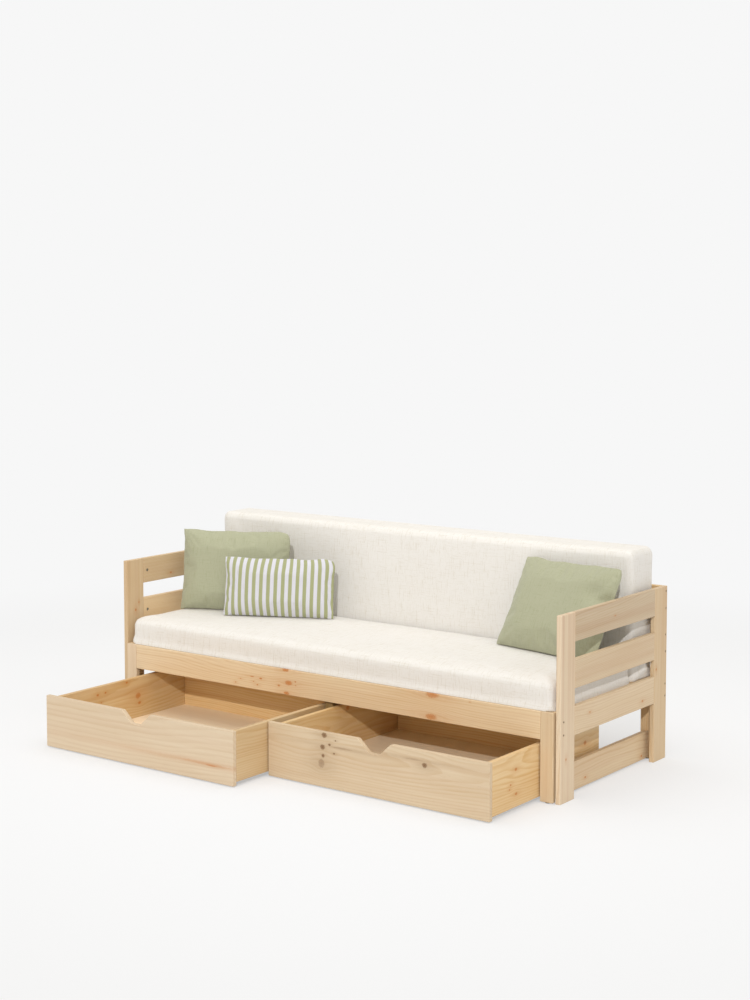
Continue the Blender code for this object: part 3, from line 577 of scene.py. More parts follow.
class SOFA_OT_finish_boards(bpy.types.Operator):
    """Give every pine board its own grain and knots, and the drawer bottoms their veneer."""

    bl_idname = "sofa_bed.finish_boards"
    bl_label = "Finish Boards"

    def execute(self, context):
        for name in nodes_with("pine"):
            dress(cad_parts[name], pine_for_board(name, *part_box(name)))
        for name in nodes_with("plywood"):
            dress(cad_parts[name], veneer(name))
        return {"FINISHED"}


# ---------------------------------------------------------------- modelling by hand


def start_clean():
    """Leaves edit mode and every selection, so that an operator acts on new work only."""
    if bpy.context.mode != "OBJECT":
        bpy.ops.object.mode_set(mode="OBJECT")
    bpy.ops.object.select_all(action="DESELECT")


def pick(piece):
    """Makes a piece the only one that the next operator acts on."""
    start_clean()
    piece.select_set(True)
    bpy.context.view_layer.objects.active = piece


def set_in_place(piece):
    """Moves a piece's place, turn and size into its mesh, and leaves its object at the origin."""
    pick(piece)
    bpy.ops.object.transform_apply(location=True, rotation=True, scale=True)


def apply_modifiers(piece):
    pick(piece)
    for name in [modifier.name for modifier in piece.modifiers]:
        bpy.ops.object.modifier_apply(modifier=name)


def smooth(piece, angle=35.0):
    pick(piece)
    bpy.ops.object.shade_smooth_by_angle(angle=radians(angle))


def read_all(items, name, width=1, kind=float):
    """A value of every item of a mesh, or a few values of each in a row."""
    values = np.empty(len(items) * width, dtype=kind)
    items.foreach_get(name, values)
    return values.reshape(-1, width) if width > 1 else values


def points_of(piece):
    return read_all(piece.data.vertices, "co", 3)


def move_points(piece, places):
    piece.data.vertices.foreach_set("co", np.ascontiguousarray(places).ravel())
    piece.data.update()


def pick_faces(piece, test):
    """Selects, in edit mode, the faces that pass a test of their middle and normal."""
    bpy.ops.mesh.select_all(action="DESELECT")
    mesh = bmesh.from_edit_mesh(piece.data)
    for face in mesh.faces:
        face.select_set(test(face.calc_center_median(), face.normal))
    mesh.select_flush(True)
    bmesh.update_edit_mesh(piece.data)


def model_block(name, low, high):
    """A plain box from low to high."""
    low, high = Vector(low), Vector(high)
    start_clean()
    bpy.ops.mesh.primitive_cube_add(size=1.0, location=(low + high) / 2, scale=high - low)
    block = bpy.context.active_object
    block.name = block.data.name = name
    set_in_place(block)
    return block


def model_board(name, low, high, ease):
    """A plank with eased edges."""
    board = model_block(name, low, high)
    eased = board.modifiers.new("eased_edges", "BEVEL")
    eased.width = ease
    eased.segments = 3
    eased.limit_method = "ANGLE"
    apply_modifiers(board)
    smooth(board)
    return board


def cut_with(piece, cutter):
    """Cuts a tool's shape out of a piece and throws the tool away."""
    cut = piece.modifiers.new("cut", "BOOLEAN")
    cut.operation = "DIFFERENCE"
    cut.solver = "EXACT"
    cut.object = cutter
    apply_modifiers(piece)
    bpy.data.objects.remove(cutter)


def copy_to(piece, name, matrix):
    """A copy with its own mesh, moved by a matrix."""
    twin = piece.copy()
    twin.data = piece.data.copy()
    twin.name = twin.data.name = name
    twin.data.transform(matrix)
    bpy.context.scene.collection.objects.link(twin)
    return twin


def join_pieces(pieces, name):
    """One piece from several separate solids."""
    start_clean()
    for piece in pieces:
        piece.select_set(True)
    bpy.context.view_layer.objects.active = pieces[0]
    bpy.ops.object.join()
    joined = bpy.context.active_object
    joined.name = joined.data.name = name
    return joined


# ---------------------------------------------------------------- slats

SLAT_COUNTS = {"fixed_slats_on_rear_beam": 14, "sliding_slats_on_cross_rail": 13}
SLAT_FRONT_ZONE = 0.004     # depth at the front ends where only slats are, not the beam behind
BOARD_THICKNESS = 0.018
BOARD_EASE = 0.002
SLAT_SCREW_INSET = 0.009    # screw's middle from the slat's end
SLAT_SCREW_SINK = 0.0013    # screw head's middle below the slat's top
SEED_STEP = 3.7             # how far apart in the log two slats are cut


def slat_middles(node):
    """Where a joined node's slats lie along X, and how high their undersides are."""
    places = points_of(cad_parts[node])
    front = places[places[:, 1] < places[:, 1].min() + SLAT_FRONT_ZONE]
    reach = front[:, 0].max() - sizes().slat_width / 2
    middles = np.linspace(-reach, reach, SLAT_COUNTS[node])
    return [float(x) for x in middles], float(front[:, 2].min())


def mark_board_places(piece, middle, seed):
    """Stores a slat's seed, and each point's place along, across and through it."""
    mesh = piece.data
    places = points_of(piece) - np.array(middle)
    board = mesh.attributes.new("board", "FLOAT_VECTOR", "POINT")
    board.data.foreach_set("vector", places[:, (1, 0, 2)].ravel())
    seeds = mesh.attributes.new("board_seed", "FLOAT", "POINT")
    seeds.data.foreach_set("value", np.full(len(places), seed))


def pine_for_slats():
    """One material for all slats: each slat carries its own board places and seed."""
    material, s, surface = new_material("pine_slats")
    place = s.node("Attribute", attribute_name="board").outputs["Vector"]
    seed = s.node("Attribute", attribute_name="board_seed").outputs["Fac"]
    add_pine(s, surface, place, "slats", seed)
    return material


class SOFA_OT_lay_slats(bpy.types.Operator):
    """Lay separate fixed and sliding slats on their beams, each held by two screws."""

    bl_idname = "sofa_bed.lay_slats"
    bl_label = "Lay Slats"

    def execute(self, context):
        pine = pine_for_slats()
        steel = zinc("zinc_slat_screws")
        self.lay("fixed_slats_on_rear_beam", "frame", "rear_beam", "fixed_slat", pine, steel)
        self.lay("sliding_slats_on_cross_rail", "pull_out_frame", "cross_rail", "sliding_slat",
                 pine, steel)
        return {"FINISHED"}

    def lay(self, node, body, beam_name, slat_name, pine, steel):
        low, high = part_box(node)
        middles, underside = slat_middles(node)
        beam_box = (low.x, high.y - BOARD_THICKNESS, low.z), (high.x, high.y, underside)
        beam = model_board(beam_name, *beam_box, BOARD_EASE)
        dress(beam, pine_for_board(beam_name, *beam_box))
        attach(beam, body)
        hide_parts(node)
        half = sizes().slat_width / 2
        first_low = Vector((middles[0] - half, low.y, underside))
        first_high = Vector((middles[0] + half, high.y, high.z))
        first = model_board(slat_name + "_01", first_low, first_high, sizes().slat_ease)
        centre = (first_low + first_high) / 2
        slats = [first] + [
            copy_to(first, "%s_%02d" % (slat_name, k), Matrix.Translation((x - middles[0], 0, 0)))
            for k, x in enumerate(middles[1:], start=2)]
        for k, (slat, x) in enumerate(zip(slats, middles)):
            mark_board_places(slat, (x, centre.y, centre.z), SEED_STEP * k + len(slat_name))
            dress(slat, pine)
            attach(slat, body)
        screw = model_screw_head(sizes().slat_screw_radius)
        places = [(x, y, high.z - SLAT_SCREW_SINK)
                  for x in middles for y in (low.y + SLAT_SCREW_INSET, high.y - SLAT_SCREW_INSET)]
        screws = [copy_to(screw, "screw", Matrix.Translation(place)) for place in places]
        bpy.data.objects.remove(screw)
        group = join_pieces(screws, slat_name + "_screws")
        smooth(group)
        dress(group, steel)
        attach(group, body)


# ---------------------------------------------------------------- fittings


def zinc(name, tone=1.0):
    """Zinc plate: mottled, with fine scratches and a little dust."""
    material, s, surface = new_material(name)
    scuffs = s.group("scuffs", make_scuff_group, {"Place": s.object_place()})
    # A tone below one darkens the plate and a smaller blue share warms it: painted shade of the holes
    # and pockets that screws and discs sit in, and painted warm light from the wood round them
    base = toned(colours().steel, tone)
    colour = s.mix(scuffs["Mottle"], base, toned(base, 0.72))
    colour = s.mix(s.times(scuffs["Dust"], 0.25), colour, (0.50, 0.47, 0.42))
    rough = s.times(scuffs["Dust"], 0.2, s.times(scuffs["Scratches"], 0.18, 0.32))
    s.feed_all(surface, {"Base Color": colour, "Metallic": 1.0, "Roughness": rough})
    bump(s, surface, scuffs["Scratches"], 0.12, 0.0002)
    return material


def moulded(name):
    """Dark moulded plastic with scuffs and dust from the floor."""
    material, s, surface = new_material(name)
    scuffs = s.group("scuffs", make_scuff_group, {"Place": s.object_place()})
    colour = s.mix(s.times(scuffs["Dust"], 0.45), tuple(colours().roller), (0.16, 0.15, 0.14))
    colour = s.mix(s.times(scuffs["Scratches"], 0.5), colour, (0.12, 0.12, 0.12))
    s.feed_all(surface, {"Base Color": colour, "Roughness": s.times(scuffs["Mottle"], 0.25, 0.38)})
    bump(s, surface, scuffs["Mottle"], 0.10, 0.0002)
    return material


def pressed_felt(name):
    """Matted grey-brown fibres."""
    material, s, surface = new_material(name)
    place = s.object_place()
    fibres = s.noise(place, scale=2600.0, detail=3.0, roughness=0.7)
    tufts = s.noise(place, scale=500.0)
    colour = s.mix(fibres, toned(colours().felt, 0.6), toned(colours().felt, 1.5))
    s.feed_all(surface, {"Base Color": colour, "Roughness": s.times(tufts, 0.1, 0.88),
                         "Sheen Weight": 0.3})
    bump(s, surface, s.plus(fibres, tufts), 0.5, 0.0006)
    return material


HEAD_DEPTH = 0.0024         # a screw head's thickness
SOCKET_DEPTH = 0.003        # the hexagon cutter's length, and how high its middle is
SOCKET_HEIGHT = 0.0016
DISC_DEPTH = 0.006          # a cam disc's thickness
DISC_RECESS = 0.0005        # how deep its face lies inside its rim
CROSS_DEPTH = 0.0036        # the cross cutter's thickness, and how high its middle is
CROSS_HEIGHT = 0.0030
SCREW_SINK = 0.0016         # screw head's middle below the post's face
CAM_SINK = 0.0042           # cam disc's middle below the rail's face
CAM_INSET = 0.0218          # cam disc's middle from the rail's end
SCREW_INSET = 0.009         # screw's middle from the post's edge
FRONT_SCREW_SPREAD = 0.0215     # a pair's screws above and below the beam's middle
REAR_SCREW_SPREAD = 0.030
# Painted shade of the holes the post screws sit in, and painted warm light from the wood round them
POST_SCREW_SHADE = (0.55, 0.42, 0.28)    # their plate is darker and warmer
# Painted shade of the pockets the cam discs sit in, with a little painted warm light from the wood
CAM_SHADE = (0.62, 0.60, 0.56)


def model_screw_head(radius):
    """A pan head with a hexagon socket, its flat top facing +Z and its top edge eased."""
    start_clean()
    bpy.ops.mesh.primitive_cylinder_add(vertices=24, radius=radius, depth=HEAD_DEPTH)
    head = bpy.context.active_object
    bpy.ops.object.mode_set(mode="EDIT")
    pick_faces(head, lambda middle, normal: normal.z > 0.9)
    bpy.ops.mesh.bevel(offset=radius * 0.16, segments=2, affect="EDGES")
    start_clean()
    bpy.ops.mesh.primitive_cylinder_add(vertices=6, radius=radius * 0.46, depth=SOCKET_DEPTH,
                                        location=(0, 0, SOCKET_HEIGHT))
    socket = bpy.context.active_object
    set_in_place(socket)
    cut_with(head, socket)
    return head


def model_cam_disc(radius):
    """A cast cam disc with a cross recess, facing +Z."""
    start_clean()
    bpy.ops.mesh.primitive_cylinder_add(vertices=32, radius=radius, depth=DISC_DEPTH)
    disc = bpy.context.active_object
    bpy.ops.object.mode_set(mode="EDIT")
    pick_faces(disc, lambda middle, normal: normal.z > 0.9)
    bpy.ops.mesh.inset(thickness=radius * 0.16)
    bpy.ops.mesh.extrude_region_move(TRANSFORM_OT_translate={"value": (0, 0, -DISC_RECESS)})
    for long, wide in ((radius * 1.15, radius * 0.26), (radius * 0.26, radius * 1.15)):
        start_clean()
        bpy.ops.mesh.primitive_cube_add(size=1.0, location=(0, 0, CROSS_HEIGHT),
                                        scale=(long, wide, CROSS_DEPTH))
        slot = bpy.context.active_object
        set_in_place(slot)
        cut_with(disc, slot)
    return disc


def placed(piece, name, place, side, degrees):
    """A copy of a fitting at a place, turned on its axis, and facing along X to one side."""
    return copy_to(piece, name, Matrix.Translation(place)
                   @ Matrix.Rotation(side * pi / 2, 4, "Y")
                   @ Matrix.Rotation(radians(degrees), 4, "Z"))


class SOFA_OT_fit_screws(bpy.types.Operator):
    """Set a socket screw in each hole in the posts' outer faces."""

    bl_idname = "sofa_bed.fit_screws"
    bl_label = "Fit Screws"

    def execute(self, context):
        head = model_screw_head(sizes().screw_radius)
        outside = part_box("arm_right_front_post")[1].x - SCREW_SINK
        rear_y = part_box("arm_right_rear_post")[1].y - SCREW_INSET
        low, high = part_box("fixed_front_beam")
        middle = (low.z + high.z) / 2
        places = [(y, middle + k * FRONT_SCREW_SPREAD)
                  for y in ((low.y + high.y) / 2, rear_y) for k in (-1, 1)]
        for rail in ("back_middle_rail", "back_top_rail"):
            low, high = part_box(rail)
            places += [(rear_y, (low.z + high.z) / 2 + k * REAR_SCREW_SPREAD) for k in (-1, 1)]
        screws = [placed(head, "screw", (side * outside, y, z), side, 23.0 * k + 11.0 * side)
                  for side in (-1, 1) for k, (y, z) in enumerate(places)]
        bpy.data.objects.remove(head)
        group = join_pieces(screws, "post_screws")
        smooth(group)
        dress(group, zinc("zinc_post_screws", POST_SCREW_SHADE))
        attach(group, "frame")
        return {"FINISHED"}


class SOFA_OT_fit_cam_discs(bpy.types.Operator):
    """Set a cam disc in each pocket in the arm rails' inner faces."""

    bl_idname = "sofa_bed.fit_cam_discs"
    bl_label = "Fit Cam Discs"

    def execute(self, context):
        disc = model_cam_disc(sizes().cam_radius)
        discs = []
        for side, word in ((-1, "left"), (1, "right")):
            for k, rail in enumerate(("seat", "middle", "top")):
                low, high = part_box("arm_%s_%s_rail" % (word, rail))
                x = (low.x if side > 0 else high.x) + side * CAM_SINK
                z = (low.z + high.z) / 2
                for end, y in enumerate((low.y + CAM_INSET, high.y - CAM_INSET)):
                    discs.append(placed(disc, "disc", (x, y, z), -side, 31.0 * k + 67.0 * end))
        bpy.data.objects.remove(disc)
        group = join_pieces(discs, "arm_cam_discs")
        smooth(group)
        dress(group, zinc("zinc_cam_discs", CAM_SHADE))
        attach(group, "frame")
        return {"FINISHED"}


class SOFA_OT_finish_gear(bpy.types.Operator):
    """Finish the roller brackets, the rollers and the felt glides."""

    bl_idname = "sofa_bed.finish_gear"
    bl_label = "Finish Gear"

    def execute(self, context):
        finishes = {"steel": zinc("zinc_brackets"), "roller_plastic": moulded("roller_plastic"),
                    "felt": pressed_felt("pressed_felt")}
        for slot, material in finishes.items():
            for name in nodes_with(slot):
                dress(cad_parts[name], material)
        return {"FINISHED"}


# ---------------------------------------------------------------- cushions


CUSHION_EDGE = {"seat_cushion": 0.030, "back_cushion": 0.026}
CUSHION_FOOT_EDGE = 0.002
CUSHION_SQUARE_ZONE = 0.022     # an edge between two flat sides is sharpened from this far
CUSHION_FOOT_ZONE = 0.0055  # points this near an edge of the foot lie on it
CUSHION_SHRINK = 0.0030     # the block starts this much inside the model's solid
CUSHION_VOXEL = 0.010       # size of the cover's mesh
CUSHION_CAP = 0.0065        # how far air may lift the cover
CUSHION_FRAMES = 18
CUSHION_REST = 0.003        # points this near the foot's height lie on it
CUSHION_WAVES = 7.0, 0.0018     # how many soft waves in a metre, and how high they are
SEAT_FRONT_REACH = 0.0060   # the seat cushion comes forward over the slats' front ends
BACK_SWELL = (0.0065, 0.0120, 0.0055)   # the cover swells past its foam: sides, rear and top
CLOTH_PRESSURE = 4.0
CLOTH_MASS = 0.3
LINEN_SHADE = (0.80, 0.76, 0.68)


def inflate(piece, frames, cap, pinned, grow=0.0):
    """Fills a closed skin with air by a cloth run. Pinned points stay, others move up to cap."""
    before = points_of(piece)
    cloth = piece.modifiers.new("fabric", "CLOTH")
    cloth.settings.use_pressure = True
    cloth.settings.uniform_pressure_force = CLOTH_PRESSURE
    cloth.settings.mass = CLOTH_MASS
    cloth.settings.quality = 4
    cloth.settings.effector_weights.gravity = 0.0
    cloth.settings.shrink_min = -grow
    if grow:
        cloth.settings.vertex_group_shrink = pinned
        cloth.settings.shrink_max = 0.0
    cloth.settings.vertex_group_mass = pinned
    cloth.point_cache.frame_start = 1
    cloth.point_cache.frame_end = frames
    for number in range(1, frames + 1):
        bpy.context.scene.frame_set(number)
    apply_modifiers(piece)
    bpy.context.scene.frame_set(1)
    moved = points_of(piece) - before
    far = np.linalg.norm(moved, axis=1, keepdims=True)
    move_points(piece, before + moved * np.minimum(1.0, cap / np.maximum(far, 1e-9)))


def add_group(piece, name, chosen):
    group = piece.vertex_groups.new(name=name)
    group.add([int(k) for k in np.flatnonzero(chosen)], 1.0, "REPLACE")
    return name


def subdivide_once(piece):
    finer = piece.modifiers.new("finer", "SUBSURF")
    finer.levels = finer.render_levels = 1
    apply_modifiers(piece)


def pick_edges(piece, test):
    """Selects, in edit mode, the edges that pass a test of their two ends."""
    bpy.ops.mesh.select_all(action="DESELECT")
    mesh = bmesh.from_edit_mesh(piece.data)
    for edge in mesh.edges:
        edge.select_set(test(*(corner.co for corner in edge.verts)))
    bmesh.update_edit_mesh(piece.data)


def model_cushion_block(name, low, high, edge):
    """A block with round edges in front and on top, nearly square round its foot and its back."""
    block = model_block(name, low, high)
    near = 0.001

    def at_back_or_foot(a, b):
        return min(a.y, b.y) > high.y - near or max(a.z, b.z) < low.z + near

    bpy.ops.object.mode_set(mode="EDIT")
    bpy.ops.mesh.select_mode(type="EDGE")
    pick_edges(block, lambda a, b: not at_back_or_foot(a, b))
    bpy.ops.mesh.bevel(offset=edge, segments=6, affect="EDGES")
    pick_edges(block, at_back_or_foot)
    bpy.ops.mesh.bevel(offset=CUSHION_FOOT_EDGE, segments=2, affect="EDGES")
    bpy.ops.mesh.select_mode(type="VERT")
    bpy.ops.object.mode_set(mode="OBJECT")
    skin = block.modifiers.new("skin", "REMESH")
    skin.mode = "VOXEL"
    skin.voxel_size = CUSHION_VOXEL
    apply_modifiers(block)
    return block


def box_map(piece):
    """A UV map in metres: each face is laid out along the two axes that it faces least."""
    mesh = piece.data
    layer = mesh.uv_layers.new(name="weave")
    facing_axis = np.argmax(np.abs(read_all(mesh.polygons, "normal", 3)), axis=1)
    axis = np.repeat(facing_axis, read_all(mesh.polygons, "loop_total", kind=np.int64))
    places = points_of(piece)[read_all(mesh.loops, "vertex_index", kind=np.int64)]
    flat = np.empty((len(places), 2))
    for k, pair in enumerate(((1, 2), (0, 2), (0, 1))):
        flat[axis == k] = places[axis == k][:, pair]
    layer.data.foreach_set("uv", flat.ravel())


def woven(name, light_colour, dark_colour, seed, slubs, sheen):
    """Linen whose slubs and flecks follow the piece's own weave map."""
    material, s, surface = new_material(name)
    weave = s.group("linen_weave", make_weave_group, {
        "Place": s.weave_place(), "Pitch": sizes().thread_pitch, "Seed": seed})
    tone = s.times(weave["Upright Slubs"], slubs)
    tone = s.times(weave["Level Slubs"], slubs * 0.7, tone)
    tone = s.times(weave["Flecks"], slubs * 0.6, tone)
    tone = s.swung(tone, weave["Clouds"], 0.25, clamp=True)
    s.feed_all(surface, {
        "Base Color": s.mix(tone, light_colour, dark_colour),
        "Roughness": s.times(weave["Height"], -0.08, 0.95), "Specular IOR Level": 0.2,
        "Sheen Weight": sheen, "Sheen Roughness": 0.5})
    bump(s, surface, weave["Height"], 0.35, 0.0005)
    return material, s, surface, weave


def fit_box(places, low, high):
    """Stretches places a little so that they reach from low to high."""
    start, end = places.min(axis=0), places.max(axis=0)
    return (places - start) / (end - start) * (np.array(high) - np.array(low)) + np.array(low)


def square_up(places, low, high, first, second):
    """Sharpens the edge between two sides of a box. A side is an axis and an end, 0 or 1."""
    ends = (np.array(low), np.array(high))
    (a, side_a), (b, side_b) = first, second
    far_a = np.abs(places[:, a] - ends[side_a][a])
    far_b = np.abs(places[:, b] - ends[side_b][b])
    for mine, other, axis, side in ((far_a, far_b, a, side_a), (far_b, far_a, b, side_b)):
        share = np.clip(other / CUSHION_SQUARE_ZONE, 0, 1)
        share = share * share * (3 - 2 * share)
        chosen = (mine <= other) & (other < CUSHION_SQUARE_ZONE)
        inward = 1 if side == 0 else -1
        places[chosen, axis] = ends[side][axis] + inward * (mine * share)[chosen]
    return places


def crisp_foot(piece, low, high):
    """Brings the points nearest the foot's edges onto them, and creases the mesh there."""
    places = points_of(piece)
    on = np.zeros(len(places), dtype=int)
    at_foot = places[:, 2] < low[2] + CUSHION_FOOT_ZONE
    for k, (axis, end) in enumerate(((0, low), (0, high), (1, low), (1, high))):
        chosen = at_foot & (np.abs(places[:, axis] - end[axis]) < CUSHION_FOOT_ZONE)
        places[chosen, axis] = end[axis]
        places[chosen, 2] = low[2]
        on[chosen] |= 1 << k
    move_points(piece, places)
    mesh = bmesh.new()
    mesh.from_mesh(piece.data)
    mesh.verts.ensure_lookup_table()
    crease = mesh.edges.layers.float.new("crease_edge")
    for edge in mesh.edges:
        first, second = (corner.index for corner in edge.verts)
        if on[first] & on[second]:
            edge[crease] = 1.0
    bmesh.ops.remove_doubles(mesh, verts=[mesh.verts[int(k)] for k in np.flatnonzero(on)],
                             dist=CUSHION_VOXEL * 0.25)
    mesh.to_mesh(piece.data)
    mesh.free()


def sew_cushion(node, forward=0.0, swell=(0.0, 0.0, 0.0)):
    """A foam cushion in its cover, filled tight and flat where it stands."""
    low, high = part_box(node)
    low, high = low - Vector((swell[0], 0.0, 0.0)), high + Vector(swell)
    inside = Vector((CUSHION_SHRINK,) * 3)
    start, end = low + inside, high - inside
    start.z = low.z
    start.y -= forward
    piece = model_cushion_block(node + "_cover", start, end, CUSHION_EDGE[node])
    resting = points_of(piece)[:, 2] < low.z + CUSHION_VOXEL
    inflate(piece, CUSHION_FRAMES, CUSHION_CAP, add_group(piece, "resting", resting))
    piece.vertex_groups.clear()
    low_now = low - Vector((0, forward, 0))
    places = fit_box(points_of(piece), low_now, high)
    move_points(piece, places)
    pace, height = CUSHION_WAVES
    waves = np.array([noise.noise(Vector(p) * pace + Vector((3.1, 1.7, 9.2))) for p in places])
    places = places + read_all(piece.data.vertices, "normal", 3) * (waves * height)[:, None]
    places[places[:, 2] < low.z + CUSHION_REST, 2] = low.z
    foot, back = (2, 0), (1, 1)
    for first, second in ((foot, (0, 0)), (foot, (0, 1)), (foot, (1, 0)), (foot, (1, 1)),
                          (back, (0, 0)), (back, (0, 1)), (back, (2, 1))):
        places = square_up(places, low_now, high, first, second)
    move_points(piece, places)
    crisp_foot(piece, low_now, high)
    subdivide_once(piece)
    box_map(piece)
    smooth(piece, 60.0)
    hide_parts(node)
    return piece


def dress_in_linen(piece, node, lightness_and_shade):
    linen = toned(colours().linen, lightness_and_shade)
    dark = toned(linen, LINEN_SHADE)
    dress(piece, woven(node + "_linen", linen, dark, seed_of(node), 0.55, 0.12)[0])


class SOFA_OT_sew_seat_cushion(bpy.types.Operator):
    """Sew and fill the seat cushion that lies on the slats."""

    bl_idname = "sofa_bed.sew_seat_cushion"
    bl_label = "Sew Seat Cushion"

    def execute(self, context):
        piece = sew_cushion("seat_cushion", forward=SEAT_FRONT_REACH)
        dress_in_linen(piece, "seat_cushion", 1.0)
        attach(piece, "pull_out_frame")
        return {"FINISHED"}


class SOFA_OT_sew_back_cushion(bpy.types.Operator):
    """Sew and fill the upright back cushion."""

    bl_idname = "sofa_bed.sew_back_cushion"
    bl_label = "Sew Back Cushion"

    def execute(self, context):
        piece = sew_cushion("back_cushion", swell=BACK_SWELL)
        # The same linen as the seat, a touch darker: painted shade on the upright cushion
        dress_in_linen(piece, "back_cushion", 0.99)
        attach(piece, "frame")
        return {"FINISHED"}


# ---------------------------------------------------------------- pillows


def pillow_frame(node):
    """A pillow's middle, its right, up and front directions, and its three sizes."""
    places = points_of(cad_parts[node])
    middle = (places.min(axis=0) + places.max(axis=0)) / 2
    spread = places - places.mean(axis=0)
    _, axes = np.linalg.eigh(spread.T @ spread)
    right, up = axes[:, 2], axes[:, 1]
    if right[0] < 0:
        right = -right
    if up[2] < 0:
        up = -up
    turned = np.stack([right, up, np.cross(right, up)], axis=1)
    local = (places - middle) @ turned
    low, high = local.min(axis=0), local.max(axis=0)
    return middle + turned @ ((low + high) / 2), turned, high - low


PILLOW_STEP = 0.0052        # size of the case's mesh
PILLOW_BUNCH = 0.75         # how much finer that mesh gets towards the seam
PILLOW_CAP = 0.014
PILLOW_FRAMES = 20
PILLOW_LOOSE = 0.020        # how much larger the cloth is than the case's outline
PILLOW_EASE = {"pillow_left": 1.0, "pillow_striped": 1.035, "pillow_right": 1.03}
# How far each corner is drawn out (right, up), in the order top left, top right, bottom left, right
PILLOW_CORNERS = {
    "pillow_left": ((-0.005, 0.010), (0.009, 0.016), (-0.007, 0.0), (0.004, 0.0)),
    "pillow_striped": ((-0.001, 0.010), (0.006, 0.010), (-0.004, 0.0), (0.002, 0.0)),
    "pillow_right": ((0.010, 0.010), (0.019, 0.018), (-0.010, 0.0), (0.008, 0.0)),
}
# How round each corner is, in the same order
PILLOW_ROUND = {
    "pillow_left": (-0.010, 0.075, -0.005, 0.030),
    "pillow_striped": (0.010, 0.060, -0.004, 0.015),
    "pillow_right": (0.004, 0.045, -0.004, 0.040),
}
# How full each case is towards its top seam: low rises slowly from it
PILLOW_TOP = {"pillow_left": 5.0, "pillow_striped": 4.5, "pillow_right": 2.8}
PILLOW_FOOT, PILLOW_SIDES = 4.5, 5.5    # the same towards its bottom and side seams
PILLOW_WAIST = (0.018, 0.022)   # how much narrower and lower the outline is between its corners
PILLOW_WAVER = (0.0030, 0.0060)     # how far its side and top seams waver
PILLOW_MAP_STEP = 3.0       # the back sheet's weave lies this far from the front sheet's
SEAM_LIFT = 0.0015          # how far the lower seam's middle is above the seat
SETTLE_POWER = 2.5          # how fast the settling fades further up
PILLOW_CLEAR = 0.0006       # air between a pillow and what it touches
PILLOW_PRESS = 0.12         # how deep in a support a point is still found
# Dents pressed into the front: place on the case, from -1 to 1, its two widths, and depth
PILLOW_DENTS = {"pillow_right": [(0.70, 0.36, 0.16, 0.20, 0.016), (0.98, 0.30, 0.10, 0.14, 0.014),
                                 (0.82, 0.26, 0.07, 0.07, 0.009)]}
ARM_INSIDE = 0.9505         # pillows stay inside the arm up to its top
ARM_TOP = 0.620


def pillow_skin(node, width, height, thickness):
    """A closed case of two sheets that meet in a seam. Returns it with each point's place on it."""
    name, seed = node + "_cover", seed_of(node)
    steps = [int(round(size / PILLOW_STEP / 2)) * 2 for size in (width, height)]
    lines = [np.sin(np.linspace(-1, 1, count + 1) * PILLOW_BUNCH * pi / 2)
             / sin(PILLOW_BUNCH * pi / 2) for count in steps]
    across, up = steps
    ends = ((-1, 1), (1, 1), (-1, -1), (1, -1))
    mesh = bmesh.new()
    points, spots = {}, []
    for side in (1, -1):
        for i, u in enumerate(lines[0]):
            for j, v in enumerate(lines[1]):
                if side < 0 and (i in (0, across) or j in (0, up)):
                    points[side, i, j] = points[1, i, j]
                    continue
                u, v = float(u), float(v)
                top = max(v, 0.0)
                x = width / 2 * u * (1 - PILLOW_WAIST[0] * (1 - v * v) * u * u)
                y = height / 2 * v * (1 - PILLOW_WAIST[1] * (1 - u * u) * top * top)
                x += PILLOW_WAVER[0] * noise.noise(Vector((seed, y * 13, u))) * abs(u) ** 6
                y += PILLOW_WAVER[1] * noise.noise(Vector((x * 15, seed, 2.0))) * top ** 6
                for (right, above), drawn, bend in zip(ends, PILLOW_CORNERS[node],
                                                       PILLOW_ROUND[node]):
                    near = (1 + right * u) * (1 + above * v) / 4
                    x += drawn[0] * near
                    y += drawn[1] * near
                    if right * u > 0 and above * v > 0:
                        x -= width / 2 * u * bend * abs(v) ** 8
                        y -= height / 2 * v * bend * abs(u) ** 8
                rise = PILLOW_TOP[node] if v > 0 else PILLOW_FOOT
                full = max(0.0, (1 - abs(u) ** PILLOW_SIDES) * (1 - abs(v) ** rise)) ** 0.5
                dent = noise.noise(Vector((x * 9, y * 9, seed + side))) * 0.10
                points[side, i, j] = mesh.verts.new(
                    (x, y, side * thickness / 2 * full * (0.96 + dent)))
                spots.append((u, v, side))
    layer = mesh.loops.layers.uv.new("weave")
    for side in (1, -1):
        for i in range(across):
            for j in range(up):
                keys = [(i, j), (i + 1, j), (i + 1, j + 1), (i, j + 1)]
                if side < 0:
                    keys.reverse()
                face = mesh.faces.new([points[side, a, b] for a, b in keys])
                face.smooth = True
                for loop, (a, b) in zip(face.loops, keys):
                    shift = 0.0 if side > 0 else PILLOW_MAP_STEP
                    loop[layer].uv = (lines[0][a] * width / 2, lines[1][b] * height / 2 + shift)
    data = bpy.data.meshes.new(name)
    mesh.to_mesh(data)
    mesh.free()
    piece = bpy.data.objects.new(name, data)
    bpy.context.scene.collection.objects.link(piece)
    return piece, np.array(spots)


def surface_below(support, place, reach=0.10):
    """Where a support lies under a place, or nothing."""
    start = Vector(place) + Vector((0, 0, reach))
    return support.ray_cast(start, Vector((0, 0, -1)), 2 * reach)[0]


def settle(places, spots, seat):
    """Brings a pillow's lower seam down to the seat all along, and less and less further up."""
    foot = np.flatnonzero(spots[:, 1] < -0.999)
    foot = foot[np.argsort(spots[foot, 0])]
    gaps = []
    for k in foot:
        hit = surface_below(seat, places[k])
        gaps.append(places[k][2] - hit.z - SEAM_LIFT if hit else 0.0)
    drop = np.interp(spots[:, 0], spots[foot, 0], gaps)
    places[:, 2] -= drop * ((1 - spots[:, 1]) / 2) ** SETTLE_POWER
    return places


